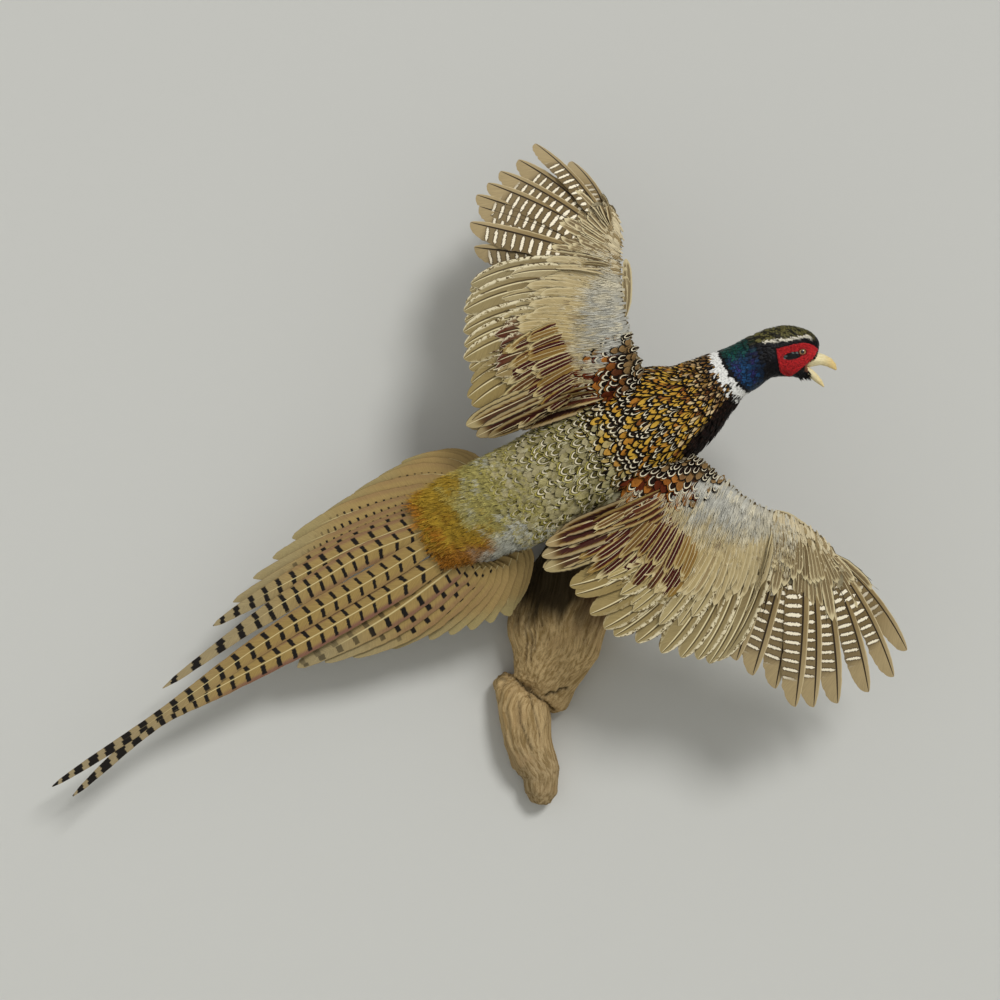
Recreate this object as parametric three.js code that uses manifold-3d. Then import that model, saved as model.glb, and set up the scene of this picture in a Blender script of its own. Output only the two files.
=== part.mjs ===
// A cock ring-necked pheasant, mounted in banking flight on a driftwood wall mount, life size.
// Millimetres, +Z up. +Y goes into the wall, so the bird's back faces -Y. The origin is the
// middle of the flat back of the driftwood, where it rests on the wall.
import * as THREE from "three";
import { mergeVertices } from "three/addons/utils/BufferGeometryUtils.js";
import Module from "manifold-3d";

const wasm = await Module();
wasm.setup();

const gap = 0.3; // clearance between pieces that meet
const bodySides = 18;
const eyeRadius = 6;
const eyeSetIn = 4.8; // depth of the eyeball's centre below the cheek
const rodRadius = 4;
const fullness = 0.9; // power that makes rings of body and wood fuller than ellipses
const ballSegments = 10;

// Each station is x, distance off the wall, z, then half sizes: up, down, front (to the viewer)
// and back (to the wall). They run from the tail root to the base of the bill.
const bodyStations = [
  [-121, 108, 125, 40, 38, 7, 7],
  [-96, 115, 135, 46, 44, 16, 15],
  [-60, 125, 150, 49, 49, 26, 27],
  [-20, 134, 169, 50, 54, 37, 41],
  [25, 142, 192, 53, 50, 46, 53],
  [70, 150, 216, 54, 51, 51, 60],
  [110, 158, 238, 55, 51, 49, 59],
  [139, 166, 252, 43, 41, 41, 48],
  [160, 174, 265, 38, 29, 31, 32],
  [176, 182, 278, 31, 23, 24, 23],
  [189, 188, 288, 25, 24, 20, 19],
  [206, 194, 299, 23, 23, 18, 18],
  [221, 197, 303, 25, 23.5, 17.5, 17.5],
  [235, 199, 304, 25.5, 24, 17, 17],
  [247, 200, 304, 22.5, 25, 15.5, 15.5],
  [257, 200, 303, 17, 13, 11, 11],
  [263, 200, 302, 9, 6, 6, 6],
];
const lengths = { tail_base: [0, 2], rump: [2, 4.2], trunk: [4.2, 7.6], neck: [7.6, 11.4] };
const headSpan = [11.4, 16];

// A wing's leading edge and the rear edge of its coverts, each station x, off the wall, z.
// The first six belong to the arm, and the wrist is the sixth. The tips are the feathers' ends.
const rightWing = {
  side: "right",
  lead: [
    [101, 172, 192], [126, 182, 196], [145, 188, 200], [169, 196, 180], [196, 202, 158],
    [221, 205, 146], [245, 203, 136], [260, 199, 127], [275, 193, 113], [288, 186, 93],
  ],
  coverts: [
    [46, 158, 146], [57, 170, 113], [89, 180, 77], [120, 184, 65], [161, 187, 69],
    [203, 190, 83], [231, 188, 75], [252, 186, 73], [272, 184, 75], [288, 184, 87],
  ],
  primaryRoots: [[226, 194, 138], [275, 188, 106]],
  primaryTips: [
    [182, 167, -1], [196, 165, -4], [202, 162, -16], [226, 156, -29], [246, 150, -49],
    [265, 143, -50], [290, 136, -45], [321, 129, -35], [349, 122, -21], [360, 118, 5],
  ],
  secondaryRoots: [[138, 184, 138], [153, 186, 124], [187, 190, 128], [219, 194, 134]],
  secondaryTips: [
    [21, 160, 72], [46, 161, 35], [74, 163, 19], [121, 167, 3], [151, 168, -3], [170, 168, -1],
  ],
  tertialRoots: [[112, 178, 170], [136, 183, 142]],
  tertialTips: [[10, 156, 124], [-9, 158, 108], [-5, 159, 88]],
  alula: [[222, 198, 147], [262, 190, 120]],
  sweep: 1,
};
const leftWing = {
  side: "left",
  lead: [
    [109, 170, 257], [93, 182, 279], [88, 188, 296], [78, 196, 323], [72, 202, 349],
    [69, 205, 379], [69, 203, 399], [70, 197, 418], [66, 188, 439], [55, 178, 455],
  ],
  coverts: [
    [25, 158, 248], [-15, 170, 262], [-42, 178, 289], [-42, 182, 318], [-24, 186, 351],
    [4, 188, 383], [17, 186, 403], [32, 180, 427], [46, 176, 444], [54, 175, 452],
  ],
  primaryRoots: [[60, 196, 384], [60, 182, 428]],
  primaryTips: [
    [-39, 160, 386], [-77, 158, 411], [-80, 148, 434], [-73, 138, 452], [-72, 130, 466],
    [-62, 122, 477], [-50, 110, 491], [-30, 98, 504], [-15, 86, 521], [23, 80, 506],
  ],
  secondaryRoots: [[39, 182, 287], [34, 186, 316], [45, 190, 355], [60, 194, 380]],
  secondaryTips: [
    [-79, 163, 256], [-82, 165, 280], [-86, 167, 307], [-85, 168, 330], [-86, 168, 349],
    [-80, 167, 371],
  ],
  tertialRoots: [[56, 174, 260], [36, 182, 289]],
  tertialTips: [[-35, 156, 232], [-70, 158, 220], [-81, 160, 235]],
  alula: [[73, 196, 338], [74, 190, 396]],
  sweep: -1,
};
const armStations = 5;
const tipThick = 0.8; // feather tips
const armThickness = [30, 27, 24, 20, 18, 15, 12, 9, 6, 3.5]; // at each wing station
const secondaryCount = 10;
const tertialCount = 4;

// Tail feathers from the middle pair outwards: tips on the bird's left (upper) and right side.
const tailTips = {
  left: [
    [-510, 62, -137], [-395, 75, -36], [-344, 80, 29], [-304, 80, 76], [-262, 80, 119],
    [-199, 82, 162], [-151, 84, 196], [-121, 86, 210], [-91, 90, 212],
  ],
  right: [
    [-489, 62, -148], [-376, 74, -62], [-317, 74, -37], [-258, 76, -15], [-201, 76, -5],
    [-134, 78, 8], [-76, 80, 25], [-41, 82, 39], [-15, 86, 63],
  ],
};
const tailRoots = {
  left: [[-82, 120, 147], [-76, 116, 160], [-60, 112, 178]],
  right: [[-82, 119, 143], [-76, 114, 122], [-50, 108, 101]],
};
const tailWidth = 30; // of the two long middle pairs

// Driftwood stations: x, z, half width across, and how far the wood reaches off the wall.
const stumpStations = [
  [12, -61, 7, 20], [8, -46, 20, 34], [0, -27, 35, 48], [9, 6, 46, 62], [17, 40, 47, 70],
  [27, 74, 40, 74], [37, 108, 30, 77], [41, 132, 20, 76],
];
const limbStations = [
  [-50, -28, 8, 26], [-38, -42, 17, 40], [-27, -58, 25, 48], [-24, -75, 25, 46], [-22, -94, 24, 42],
  [-16, -111, 22, 38], [-6, -128, 17, 34], [-6, -147, 16, 30], [-8, -158, 9, 22],
];

const finish = (color, roughness, metalness = 0) =>
  new THREE.MeshStandardMaterial({ color, roughness, metalness });
const finishes = {
  mantle: finish(0xa8742c, 0.7),
  rump: finish(0x8b8c5e, 0.75),
  rust: finish(0x9a6a24, 0.8),
  neck: finish(0x14303c, 0.4),
  head: finish(0x8f1a1c, 0.6),
  bill: finish(0xd8c48c, 0.4),
  tongue: finish(0xa97a62, 0.6),
  eye: finish(0x1b120c, 0.1),
  coverts: finish(0x9c9682, 0.75),
  primaries: finish(0x7d6a4c, 0.7),
  secondaries: finish(0x8f7d55, 0.7),
  tertials: finish(0x7a5234, 0.7),
  tail: finish(0x9a7b45, 0.7),
  leg: finish(0x8c8574, 0.6),
  wood: finish(0x8a6a48, 0.85),
  steel: finish(0x8f9294, 0.35, 1),
};

const spot = ([x, off, z]) => new THREE.Vector3(x, -off, z);
const toWall = new THREE.Vector3(0, 1, 0);

// A smooth row of numbers through the given rows, at a position counted in rows.
function between(rows, at) {
  const last = rows.length - 1;
  const i = Math.min(Math.max(Math.floor(at), 0), last - 1);
  const f = at - i;
  const [a, b, c, d] = [rows[Math.max(i - 1, 0)], rows[i], rows[i + 1], rows[Math.min(i + 2, last)]];
  return b.map((_, k) => {
    const bend = 2 * a[k] - 5 * b[k] + 4 * c[k] - d[k];
    const twist = -a[k] + 3 * b[k] - 3 * c[k] + d[k];
    return b[k] + 0.5 * f * (c[k] - a[k] + f * (bend + f * twist));
  });
}

function alongRows(rows, share) {
  return between(rows, share * (rows.length - 1));
}

// A closed body through rings of as many points each. Its ends are closed in strips across
// the ring, which stay inside it even where the ring is long and bent.
function loft(rings) {
  const sides = rings[0].length;
  const faces = [];
  for (let start = 0; start < (rings.length - 1) * sides; start += sides)
    for (let k = 0; k < sides; k++) {
      const [from, next] = [start + k, start + ((k + 1) % sides)];
      faces.push(from, next, next + sides, from, next + sides, from + sides);
    }
  const last = (rings.length - 1) * sides;
  for (let [low, high] = [0, sides - 1]; high - low > 1; low++, high--) {
    const strip = [[low, low + 1, high]];
    if (high - low > 2) strip.push([low + 1, high - 1, high]);
    for (const [i, j, k] of strip) faces.push(k, j, i, last + i, last + j, last + k);
  }
  const geometry = new THREE.BufferGeometry().setFromPoints(rings.flat());
  geometry.setIndex(faces);
  return solid(geometry);
}

// A closed geometry as a solid, turned so that its faces point out.
function solid(geometry) {
  const bare = geometry.clone();
  bare.deleteAttribute("normal");
  bare.deleteAttribute("uv");
  const merged = mergeVertices(bare, 1e-3);
  const vertProperties = merged.attributes.position.array;
  const triVerts = new Uint32Array(merged.index.array);
  const made = new wasm.Manifold(new wasm.Mesh({ numProp: 3, vertProperties, triVerts }));
  if (made.volume() > 0) return made;
  return new wasm.Manifold(new wasm.Mesh({ numProp: 3, vertProperties, triVerts: triVerts.reverse() }));
}

const joined = (solids) => solids.reduce((whole, next) => whole.add(next));

function geometryOf(shape) {
  const { vertProperties, triVerts } = shape.getMesh();
  const geometry = new THREE.BufferGeometry();
  geometry.setAttribute("position", new THREE.BufferAttribute(vertProperties, 3));
  return geometry.setIndex(new THREE.BufferAttribute(triVerts, 1));
}

// The largest body that is left after cuts.
const largest = (cut) => cut.decompose().reduce((a, b) => (b.volume() > a.volume() ? b : a));

function ball(center, sizes) {
  const geometry = new THREE.SphereGeometry(1, ballSegments, Math.round(ballSegments * 0.7));
  geometry.scale(...sizes).translate(...center);
  return solid(geometry);
}

const squashed = (value) => Math.sign(value) * Math.abs(value) ** fullness;

// One ring of the body at a station position, grown outwards where a neighbour needs room.
function bodyRing(at, grow = 0) {
  const [x, off, z, up, down, front, back] = between(bodyStations, at);
  const ahead = spot(between(bodyStations, at + 0.05));
  const behind = spot(between(bodyStations, at - 0.05));
  const along = ahead.sub(behind).normalize();
  const across = along.clone().cross(toWall).normalize();
  const outward = along.clone().cross(across);
  return Array.from({ length: bodySides }, (_, k) => {
    const turn = (2 * Math.PI * k) / bodySides;
    const [c, s] = [squashed(Math.cos(turn)), squashed(Math.sin(turn))];
    return spot([x, off, z])
      .addScaledVector(across, c * ((c > 0 ? up : down) + grow))
      .addScaledVector(outward, s * ((s > 0 ? front : back) + grow));
  });
}

// A length of the body between two stations. Ungrown, it stops a gap short at its far end.
function bodyLength([from, to], { grow = 0, step = 0.5 } = {}) {
  const nearby = 0.1;
  const before = spot(between(bodyStations, to - nearby));
  const perStation = before.distanceTo(spot(between(bodyStations, to))) / nearby;
  const trim = grow ? 0 : (1.3 * gap) / perStation;
  const count = Math.round((to - from) / step);
  const rings = Array.from({ length: count + 1 }, (_, k) =>
    bodyRing(from + ((to - from) * k) / count - (k === count ? trim : 0), grow),
  );
  return loft(rings);
}

// A wing's covert-clad plate: a thick rounded front edge that thins towards the rear. Its
// section is in shares of the chord and of the thickness.
const wingSection = [
  [0, 0], [0.05, 0.45], [0.22, 0.7], [0.6, 0.42], [1, 0.09],
  [1, -0.09], [0.6, -0.1], [0.22, -0.3], [0.05, -0.3],
];
const wristTrim = 0.02; // of a station, the clearance between arm and hand
function wingPlate(wing, [from, to], grow = 0) {
  const count = (to - from) * 2;
  const rings = Array.from({ length: count + 1 }, (_, k) => {
    const at = from + ((to - from - (grow ? 0 : wristTrim)) * k) / count;
    const front = spot(between(wing.lead, at));
    const rear = spot(between(wing.coverts, at));
    const chord = rear.clone().sub(front);
    const span = spot(between(wing.lead, at + 0.1)).sub(spot(between(wing.lead, at - 0.1)));
    const normal = chord.clone().cross(span).normalize();
    if (normal.y > 0) normal.negate();
    const [thick] = between(armThickness.map((value) => [value]), at);
    const reach = chord.clone().normalize();
    return wingSection.map(([c, t]) =>
      front
        .clone()
        .addScaledVector(chord, c)
        .addScaledVector(reach, grow * (c < 0.5 ? -1 : 1))
        .addScaledVector(normal, t * thick + grow * Math.sign(t)),
    );
  });
  return loft(rings);
}

// One tail feather as a thin curved blade. bow lifts its middle to the viewer, and sweep bends
// it sideways; both are shares of its length. The profile gives its width from root to tip.
const tailProfile = [
  [0, 0.4], [0.15, 0.95], [0.38, 1], [0.55, 0.66], [0.75, 0.42], [0.92, 0.28], [1, 0.05],
];
function blade({ root, tip, width, bow, sweep, roll, rootThick }) {
  const { shaft } = bentShaft(spot(root), spot(tip), bow, sweep);
  const rings = tailProfile.map(([at, share]) => {
    const center = shaft.getPoint(at);
    const along = shaft.getTangent(at);
    const side = along.clone().cross(toWall).normalize().applyAxisAngle(along, roll);
    const lift = along.clone().cross(side).normalize();
    const thick = THREE.MathUtils.lerp(rootThick, tipThick, Math.min(1, at * 1.5));
    const [w, t] = [(width * share) / 2, thick / 2];
    return [[w, t], [-w, t], [-w, -t], [w, -t]].map(([a, b]) =>
      center.clone().addScaledVector(side, a).addScaledVector(lift, b),
    );
  });
  return loft(rings);
}

function bentShaft(start, end, bow, sweep) {
  const run = end.clone().sub(start);
  const aside = run.clone().cross(toWall).normalize();
  const middle = start.clone().lerp(end, 0.5);
  middle.addScaledVector(toWall, -2 * bow * run.length());
  middle.addScaledVector(aside, 2 * sweep * run.length());
  return { shaft: new THREE.QuadraticBezierCurve3(start, middle, end), run };
}

// A fan of overlapping wing feathers as one thin pleated sheet with scalloped tips. Shafts
// stand at the middle of each pleat, and notch is how deep the tips part, a share of length.
const pleats = [[0, 0], [0.32, 0.55], [0.68, 0.55]]; // across a feather, and how far it stands up
const fanRows = 2;
function fan({ count, roots, tips, bow, sweep, notch, rootThick = 2.6 }) {
  const columns = Array.from({ length: pleats.length * count + 1 }, (_, c) => {
    const [f, ridge] = pleats[c % pleats.length];
    const u = (Math.floor(c / pleats.length) + f) / count;
    const end = 1 - notch(u) * (1 - Math.sqrt(1 - (2 * f - 1) ** 2));
    const tip = spot(between(tips, u * tips.length - 0.5));
    const { shaft, run } = bentShaft(spot(alongRows(roots, u)), tip, bow, sweep(u));
    const across = spot(between(tips, u * tips.length)).sub(spot(between(tips, u * tips.length - 1)));
    const normal = run.clone().cross(across).normalize();
    if (normal.y > 0) normal.negate();
    return Array.from({ length: fanRows + 1 }, (_, r) => {
      const at = (end * r) / fanRows;
      const thick = THREE.MathUtils.lerp(rootThick, tipThick, r / fanRows) / 2;
      const center = shaft.getPoint(at);
      const front = center.clone().addScaledVector(normal, thick + ridge);
      return [front, center.addScaledVector(normal, -thick)];
    });
  });
  return loft(columns.map((column) =>
    [...column.map(([front]) => front), ...column.map(([, back]) => back).reverse()]));
}

const bodyRoom = joined(Object.values(lengths).map((span) => bodyLength(span, { grow: gap })));

function wingNodes(wing) {
  const arm = wingPlate(wing, [0, armStations]);
  const plateRoom = wingPlate(wing, [0, wing.lead.length - 1], gap);
  const primaries = fan({ count: wing.primaryTips.length, roots: wing.primaryRoots, bow: 0.05,
    tips: wing.primaryTips, sweep: (u) => 0.05 * wing.sweep * u, notch: (u) => 0.1 + 0.12 * u });
  const secondaries = fan({ count: secondaryCount, roots: wing.secondaryRoots, bow: 0.05,
    tips: wing.secondaryTips, sweep: () => 0.05 * wing.sweep, notch: () => 0.06 });
  const tertials = fan({ count: tertialCount, roots: wing.tertialRoots, bow: 0.06,
    tips: wing.tertialTips, sweep: () => 0, notch: () => 0.1, rootThick: 4 });
  const alula = blade({ root: wing.alula[0], tip: wing.alula[1], width: 13, bow: 0.02,
    sweep: 0.04 * wing.sweep, roll: 0.12 * wing.sweep, rootThick: 2 });
  const clear = (piece, ...rooms) =>
    largest(rooms.reduce((left, room) => left.subtract(room), piece));
  const secondaryBody = clear(secondaries, plateRoom, bodyRoom);
  return {
    [`wing_arm_${wing.side}`]: [clear(arm, bodyRoom), finishes.coverts],
    [`wing_hand_${wing.side}`]: [
      wingPlate(wing, [armStations, wing.lead.length - 1]), finishes.coverts],
    [`secondaries_${wing.side}`]: [secondaryBody, finishes.secondaries],
    [`primaries_${wing.side}`]: [
      clear(primaries, plateRoom, thickened(secondaryBody)), finishes.primaries],
    [`tertials_${wing.side}`]: [
      clear(tertials, plateRoom, bodyRoom, thickened(secondaryBody)), finishes.tertials],
    [`alula_${wing.side}`]: [clear(alula, plateRoom), finishes.primaries],
  };
}

// A copy swollen by joining it with itself moved a little towards each side.
function thickened(piece) {
  const shifts = [[0.6, 1, -0.7], [0.6, 1, 0.7], [-0.6, -1, 0.7], [-0.6, -1, -0.7]];
  return joined([piece, ...shifts.map((shift) => piece.translate(shift.map((value) => value * gap)))]);
}

function tailNodes() {
  const middlePairs = ["left", "right"].flatMap((side) => [0, 1].map((i) => {
    const outward = side === "left" ? -1 : 1;
    const root = tailRoots[side][0];
    return blade({ root, tip: tailTips[side][i], width: tailWidth, bow: 0.015,
      sweep: 0.04 * outward * i, roll: 0.08 * outward, rootThick: 7 });
  }));
  const middle = largest(joined(middlePairs).subtract(bodyRoom));
  const room = thickened(middle);
  const outer = (side) => {
    const bend = side === "left" ? -0.06 : 0.06;
    const feathers = fan({ count: 7, roots: tailRoots[side], tips: tailTips[side].slice(2),
      bow: 0.015, sweep: () => bend, notch: () => 0.18, rootThick: 5 });
    return largest(feathers.subtract(bodyRoom).subtract(room));
  };
  return {
    tail_middle: [middle, finishes.tail],
    tail_left: [outer("left"), finishes.tail],
    tail_right: [outer("right"), finishes.tail],
  };
}

// A round limb through stations of x, off the wall, z and radius.
function limb(stations, sides = 8) {
  const rings = stations.map((station, i) => {
    const ahead = spot(stations[Math.min(i + 1, stations.length - 1)]);
    const along = ahead.sub(spot(stations[Math.max(i - 1, 0)])).normalize();
    const across = along.clone().cross(toWall).normalize();
    const outward = along.clone().cross(across);
    return Array.from({ length: sides }, (_, k) => {
      const turn = (2 * Math.PI * k) / sides;
      return spot(station)
        .addScaledVector(across, station[3] * Math.cos(turn))
        .addScaledVector(outward, station[3] * Math.sin(turn));
    });
  });
  return loft(rings);
}

// The legs are drawn back under the tail, one each side of the body's middle line. Stations are
// x, off the wall, z and radius, and each leg is set aside from them.
const legStations = [
  [18, 104, 166, 14], [0, 93, 155, 13], [-18, 83, 144, 10], [-36, 75, 133, 5.5],
  [-60, 69, 123, 3.8], [-84, 64, 113, 3.8], [-106, 60, 104, 4.2],
];
const spurStations = [[-72, 66, 118, 2.5], [-76, 60, 113, 2], [-82, 56, 110, 0.6]];
const legAside = { x: -7, z: 14 };
// Each toe reaches along the tail, drops to the wall and splays, in radians. The last is the
// hind toe. A toe's stations are a share of its reach, a radius and how far the claw curls.
const toes = [[-46, 6, 0.34], [-54, 0, 0.02], [-44, 4, -0.32], [-22, -6, 0.9]];
const toeStations = [[-0.04, 3, 0], [0.4, 2.8, 0], [0.75, 2.3, 1], [0.9, 1.5, 3], [1, 0.5, 6]];
const toeRoot = { x: -104, off: 60, z: 103.2 }; // where the toes meet
const shin = { x: -22, off: -4, z: -9 }; // the way the shank runs into the foot

function legNodes(side, sideways) {
  const place = ([x, off, z, r]) => [x + legAside.x * sideways, off, z + legAside.z * sideways, r];
  const leg = limb(legStations.map(place));
  const spur = limb(spurStations.map(place), 6);
  const foot = toes.map(([reach, drop, splay]) => {
    const dx = reach * Math.cos(splay);
    const dz = 0.9 * reach * Math.sin(splay) - 0.45 * Math.abs(reach);
    return limb(toeStations.map(([share, r, curl]) =>
      place([toeRoot.x + dx * share, toeRoot.off - drop * share - curl, toeRoot.z + dz * share, r])), 5);
  });
  const heel = spot(place(legStations.at(-1)));
  const onward = spot([shin.x, shin.off, shin.z]).normalize();
  const past = onward.dot(heel) + gap;
  return {
    [`leg_${side}`]: [largest(leg.add(spur).subtract(bodyRoom)), finishes.leg],
    [`foot_${side}`]: [
      largest(joined(foot).trimByPlane(onward.toArray(), past)), finishes.leg],
  };
}

// Bill, mouth and eyes, all in the head's own upright plane. Stations of bill and tongue are
// x, z, half height and half width.
const billSides = 10;
const billOff = 200; // the bill's distance off the wall
function billHalf(stations, grow = 0) {
  const rings = stations.map(([x, z, tall, wide], i) => {
    const [nx, nz] = stations[Math.min(i + 1, stations.length - 1)];
    const [px, pz] = stations[Math.max(i - 1, 0)];
    const along = new THREE.Vector3(nx - px, 0, nz - pz).normalize();
    const across = along.clone().cross(toWall);
    return Array.from({ length: billSides }, (_, k) => {
      const turn = (2 * Math.PI * k) / billSides;
      return spot([x, billOff + (wide + grow) * Math.sin(turn), z])
        .addScaledVector(across, (tall + grow) * Math.cos(turn));
    });
  });
  return loft(rings);
}
const upperBill = [
  [254, 297.5, 6, 6.4], [260, 297.3, 6.2, 6.2], [267, 296, 5.6, 5.2], [273.5, 293.4, 4.8, 3.8],
  [278, 289.6, 3.3, 2.4], [280.8, 286, 0.9, 0.8],
];
const lowerBill = [
  [250, 286.5, 4.4, 6], [255.5, 282.4, 4.2, 5.4], [260, 278.6, 3.7, 4.4], [264.8, 273.8, 2.7, 3],
  [268.6, 269.2, 0.7, 0.9],
];
const tongueStations = [
  [247, 291, 1.2, 3], [253, 287.5, 1.3, 3], [259, 283.6, 1.1, 2.4], [264, 280, 0.5, 1]];

const eyeStation = 14;
const eyeSocket = 0.5; // clearance round the eyeball
const wattle = { back: 5, below: 7, out: 11.5, sizes: [20, 6, 14] };
const chinLump = { x: 248, z: 285, sizes: [8, 9, 8] };
function headNodes() {
  const cheek = between(bodyStations, eyeStation);
  const [eyeX, eyeZ] = [cheek[0] - 1, cheek[2] - 1.2];
  const eyeOff = (towards) => cheek[1] + towards * (cheek[5] - eyeSetIn);
  const eyes = { right: eyeOff(1), left: eyeOff(-1) };
  const eyeball = (off, radius) => ball([eyeX, -off, eyeZ], [radius, radius, radius]);
  const wattles = [1, -1].map((towards) => ball(
    [eyeX - wattle.back, -(cheek[1] + towards * wattle.out), eyeZ - wattle.below], wattle.sizes));
  const chin = ball([chinLump.x, -cheek[1], chinLump.z], chinLump.sizes);
  const rooms = [
    billHalf(upperBill, gap), billHalf(lowerBill, gap), billHalf(tongueStations, gap),
    ...Object.values(eyes).map((off) => eyeball(off, eyeRadius + eyeSocket)),
  ];
  const skull = bodyLength(headSpan, { step: 0.46 });
  const head = rooms.reduce((left, room) => left.subtract(room), joined([skull, ...wattles, chin]));
  const nodes = {
    head: [largest(head), finishes.head],
    bill_upper: [billHalf(upperBill), finishes.bill],
    bill_lower: [billHalf(lowerBill), finishes.bill],
    tongue: [largest(billHalf(tongueStations).subtract(billHalf(lowerBill, gap))
      .subtract(billHalf(upperBill, gap))), finishes.tongue],
  };
  for (const [side, off] of Object.entries(eyes))
    nodes[`eye_${side}`] = [eyeball(off, eyeRadius), finishes.eye];
  return nodes;
}

// Driftwood: knotty lofts, sawn flat where they rest on the wall. knots is how far the
// surface swells and sinks round a ring, a share of its radius.
const woodSides = 20;
const woodMiddle = 0.42; // of the depth, where the rings' middles stand off the wall
const woodHalf = 0.56; // of the depth, the rings' half size from wall to viewer
function woodPiece(stations, knots, grow = 0) {
  const rings = stations.map(([x, z, half, depth], i) => {
    const [nx, nz] = stations[Math.min(i + 1, stations.length - 1)];
    const [px, pz] = stations[Math.max(i - 1, 0)];
    const along = new THREE.Vector3(nx - px, 0, nz - pz).normalize();
    const across = along.clone().cross(toWall);
    return Array.from({ length: woodSides }, (_, k) => {
      const turn = (2 * Math.PI * k) / woodSides;
      const rough = 1 + knots * Math.sin(5 * turn + 0.7 * i) + 0.6 * knots * Math.sin(8 * turn - i);
      const out = (depth * woodHalf * rough + grow) * squashed(Math.sin(turn));
      return spot([x, depth * woodMiddle + out, z])
        .addScaledVector(across, (half * rough + grow) * squashed(Math.cos(turn)));
    });
  });
  return loft(rings);
}

const slab = (sizes, center) =>
  solid(new THREE.BoxGeometry(...sizes).translate(...center));

const wallSlab = slab([900, 100, 900], [0, 50, 0]);
const plate = { x: 14, off: 2, z: 38, wide: 40, tall: 14, thick: 1.5, pocket: 3, clearance: 1 };
const tooth = { count: 7, pitch: 3.4, wide: 2, tall: 4, below: 7 };
const rodEnds = [[44, 68, 124], [62, 112, 180]];
const rodSides = 12;
const rodSocket = -0.01; // the socket starts this share of the rod behind its end
const knots = { stump: 0.035, limb: 0.03 };

function mountNodes() {
  const pocket = slab(
    [plate.wide + 2 * plate.clearance, 2 * plate.pocket, plate.tall + 2 * plate.clearance],
    [plate.x, 0, plate.z]);
  const rod = (start, radius) =>
    limb([between(rodEnds, start), rodEnds[1]].map((place) => [...place, radius]), rodSides);
  const stump = [wallSlab, pocket, rod(rodSocket, rodRadius + gap)].reduce(
    (left, room) => left.subtract(room), woodPiece(stumpStations, knots.stump));
  const stumpRoom = woodPiece(stumpStations, knots.stump, 1.5 * gap);
  const limbWood = woodPiece(limbStations, knots.limb).subtract(wallSlab).subtract(stumpRoom);
  const bar = slab([plate.wide, plate.thick, plate.tall], [plate.x, -plate.off, plate.z]);
  const notches = Array.from({ length: tooth.count }, (_, k) =>
    slab([tooth.wide, 2 * plate.pocket, tooth.tall], [0, 0, 0]).rotate([0, 45, 0]).translate([
      plate.x + tooth.pitch * (k - (tooth.count - 1) / 2), -plate.off, plate.z - tooth.below]));
  return {
    driftwood_stump: [largest(stump), finishes.wood],
    driftwood_limb: [largest(limbWood), finishes.wood],
    hanger_plate: [
      largest(notches.reduce((left, notch) => left.subtract(notch), bar)), finishes.steel],
    support_rod: [largest(rod(0, rodRadius).subtract(bodyRoom)), finishes.steel],
  };
}

const lengthFinishes = { tail_base: "rust", rump: "rump", trunk: "mantle", neck: "neck" };
const nodes = {
  ...Object.fromEntries(Object.entries(lengths).map(([name, span]) =>
    [name, [bodyLength(span), finishes[lengthFinishes[name]]]])),
  ...headNodes(),
  ...wingNodes(leftWing),
  ...wingNodes(rightWing),
  ...tailNodes(),
  ...legNodes("left", 1),
  ...legNodes("right", -1),
  ...mountNodes(),
};

const pheasant = new THREE.Group();
for (const [name, [shape, material]] of Object.entries(nodes)) {
  const mesh = new THREE.Mesh(geometryOf(largest(solid(geometryOf(shape)))), material);
  mesh.name = name;
  pheasant.add(mesh);
}

export default pheasant;
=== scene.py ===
import bpy
import bmesh
import math
import numpy as np
from mathutils import Matrix, Vector, bvhtree, kdtree, noise


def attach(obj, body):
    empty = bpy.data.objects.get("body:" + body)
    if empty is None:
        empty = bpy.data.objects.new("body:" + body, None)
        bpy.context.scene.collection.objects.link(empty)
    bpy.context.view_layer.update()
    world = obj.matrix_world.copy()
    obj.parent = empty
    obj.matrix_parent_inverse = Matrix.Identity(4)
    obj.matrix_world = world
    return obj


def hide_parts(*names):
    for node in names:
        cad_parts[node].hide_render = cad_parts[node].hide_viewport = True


# A cock pheasant mounted in banking flight on driftwood. Sizes in the tables are millimetres,
# as (across, off the wall, up); the wall is at y = 0 and the viewer looks along +y.
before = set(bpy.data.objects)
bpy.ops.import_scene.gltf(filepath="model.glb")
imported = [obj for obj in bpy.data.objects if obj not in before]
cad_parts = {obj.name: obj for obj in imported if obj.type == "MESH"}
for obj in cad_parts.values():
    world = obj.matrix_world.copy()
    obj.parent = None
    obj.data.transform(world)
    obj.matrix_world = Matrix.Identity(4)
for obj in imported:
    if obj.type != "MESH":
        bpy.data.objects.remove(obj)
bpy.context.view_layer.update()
mm = 0.001
chance = np.random.default_rng(11)


# numbers and places
def paint(text):
    parts = [int(text[i:i + 2], 16) / 255 for i in (0, 2, 4)]
    return tuple(p / 12.92 if p < 0.04045 else ((p + 0.055) / 1.055) ** 2.4 for p in parts) + (1.0,)


def hue(text):
    return np.array(paint(text)[:3])


def tones(*texts):
    return np.array([hue(text) for text in texts])


def unit(vectors):
    return vectors / np.maximum(np.linalg.norm(vectors, axis=-1, keepdims=True), 1e-9)


def spot(rows):
    rows = np.asarray(rows, float)
    return np.stack([rows[..., 0], -rows[..., 1], rows[..., 2]], -1) * mm


def between(rows, at):
    # a smooth curve through the given rows; 0 is the first row, 1 the next
    rows, at = np.asarray(rows, float), np.asarray(at, float)
    last = len(rows) - 1
    i = np.clip(np.floor(at).astype(int), 0, last - 1)
    f = (at - i)[..., None]
    a, b, c, d = rows[np.maximum(i - 1, 0)], rows[i], rows[i + 1], rows[np.minimum(i + 2, last)]
    return b + 0.5 * f * (c - a + f * (2 * a - 5 * b + 4 * c - d + f * (3 * b - a - 3 * c + d)))


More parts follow.
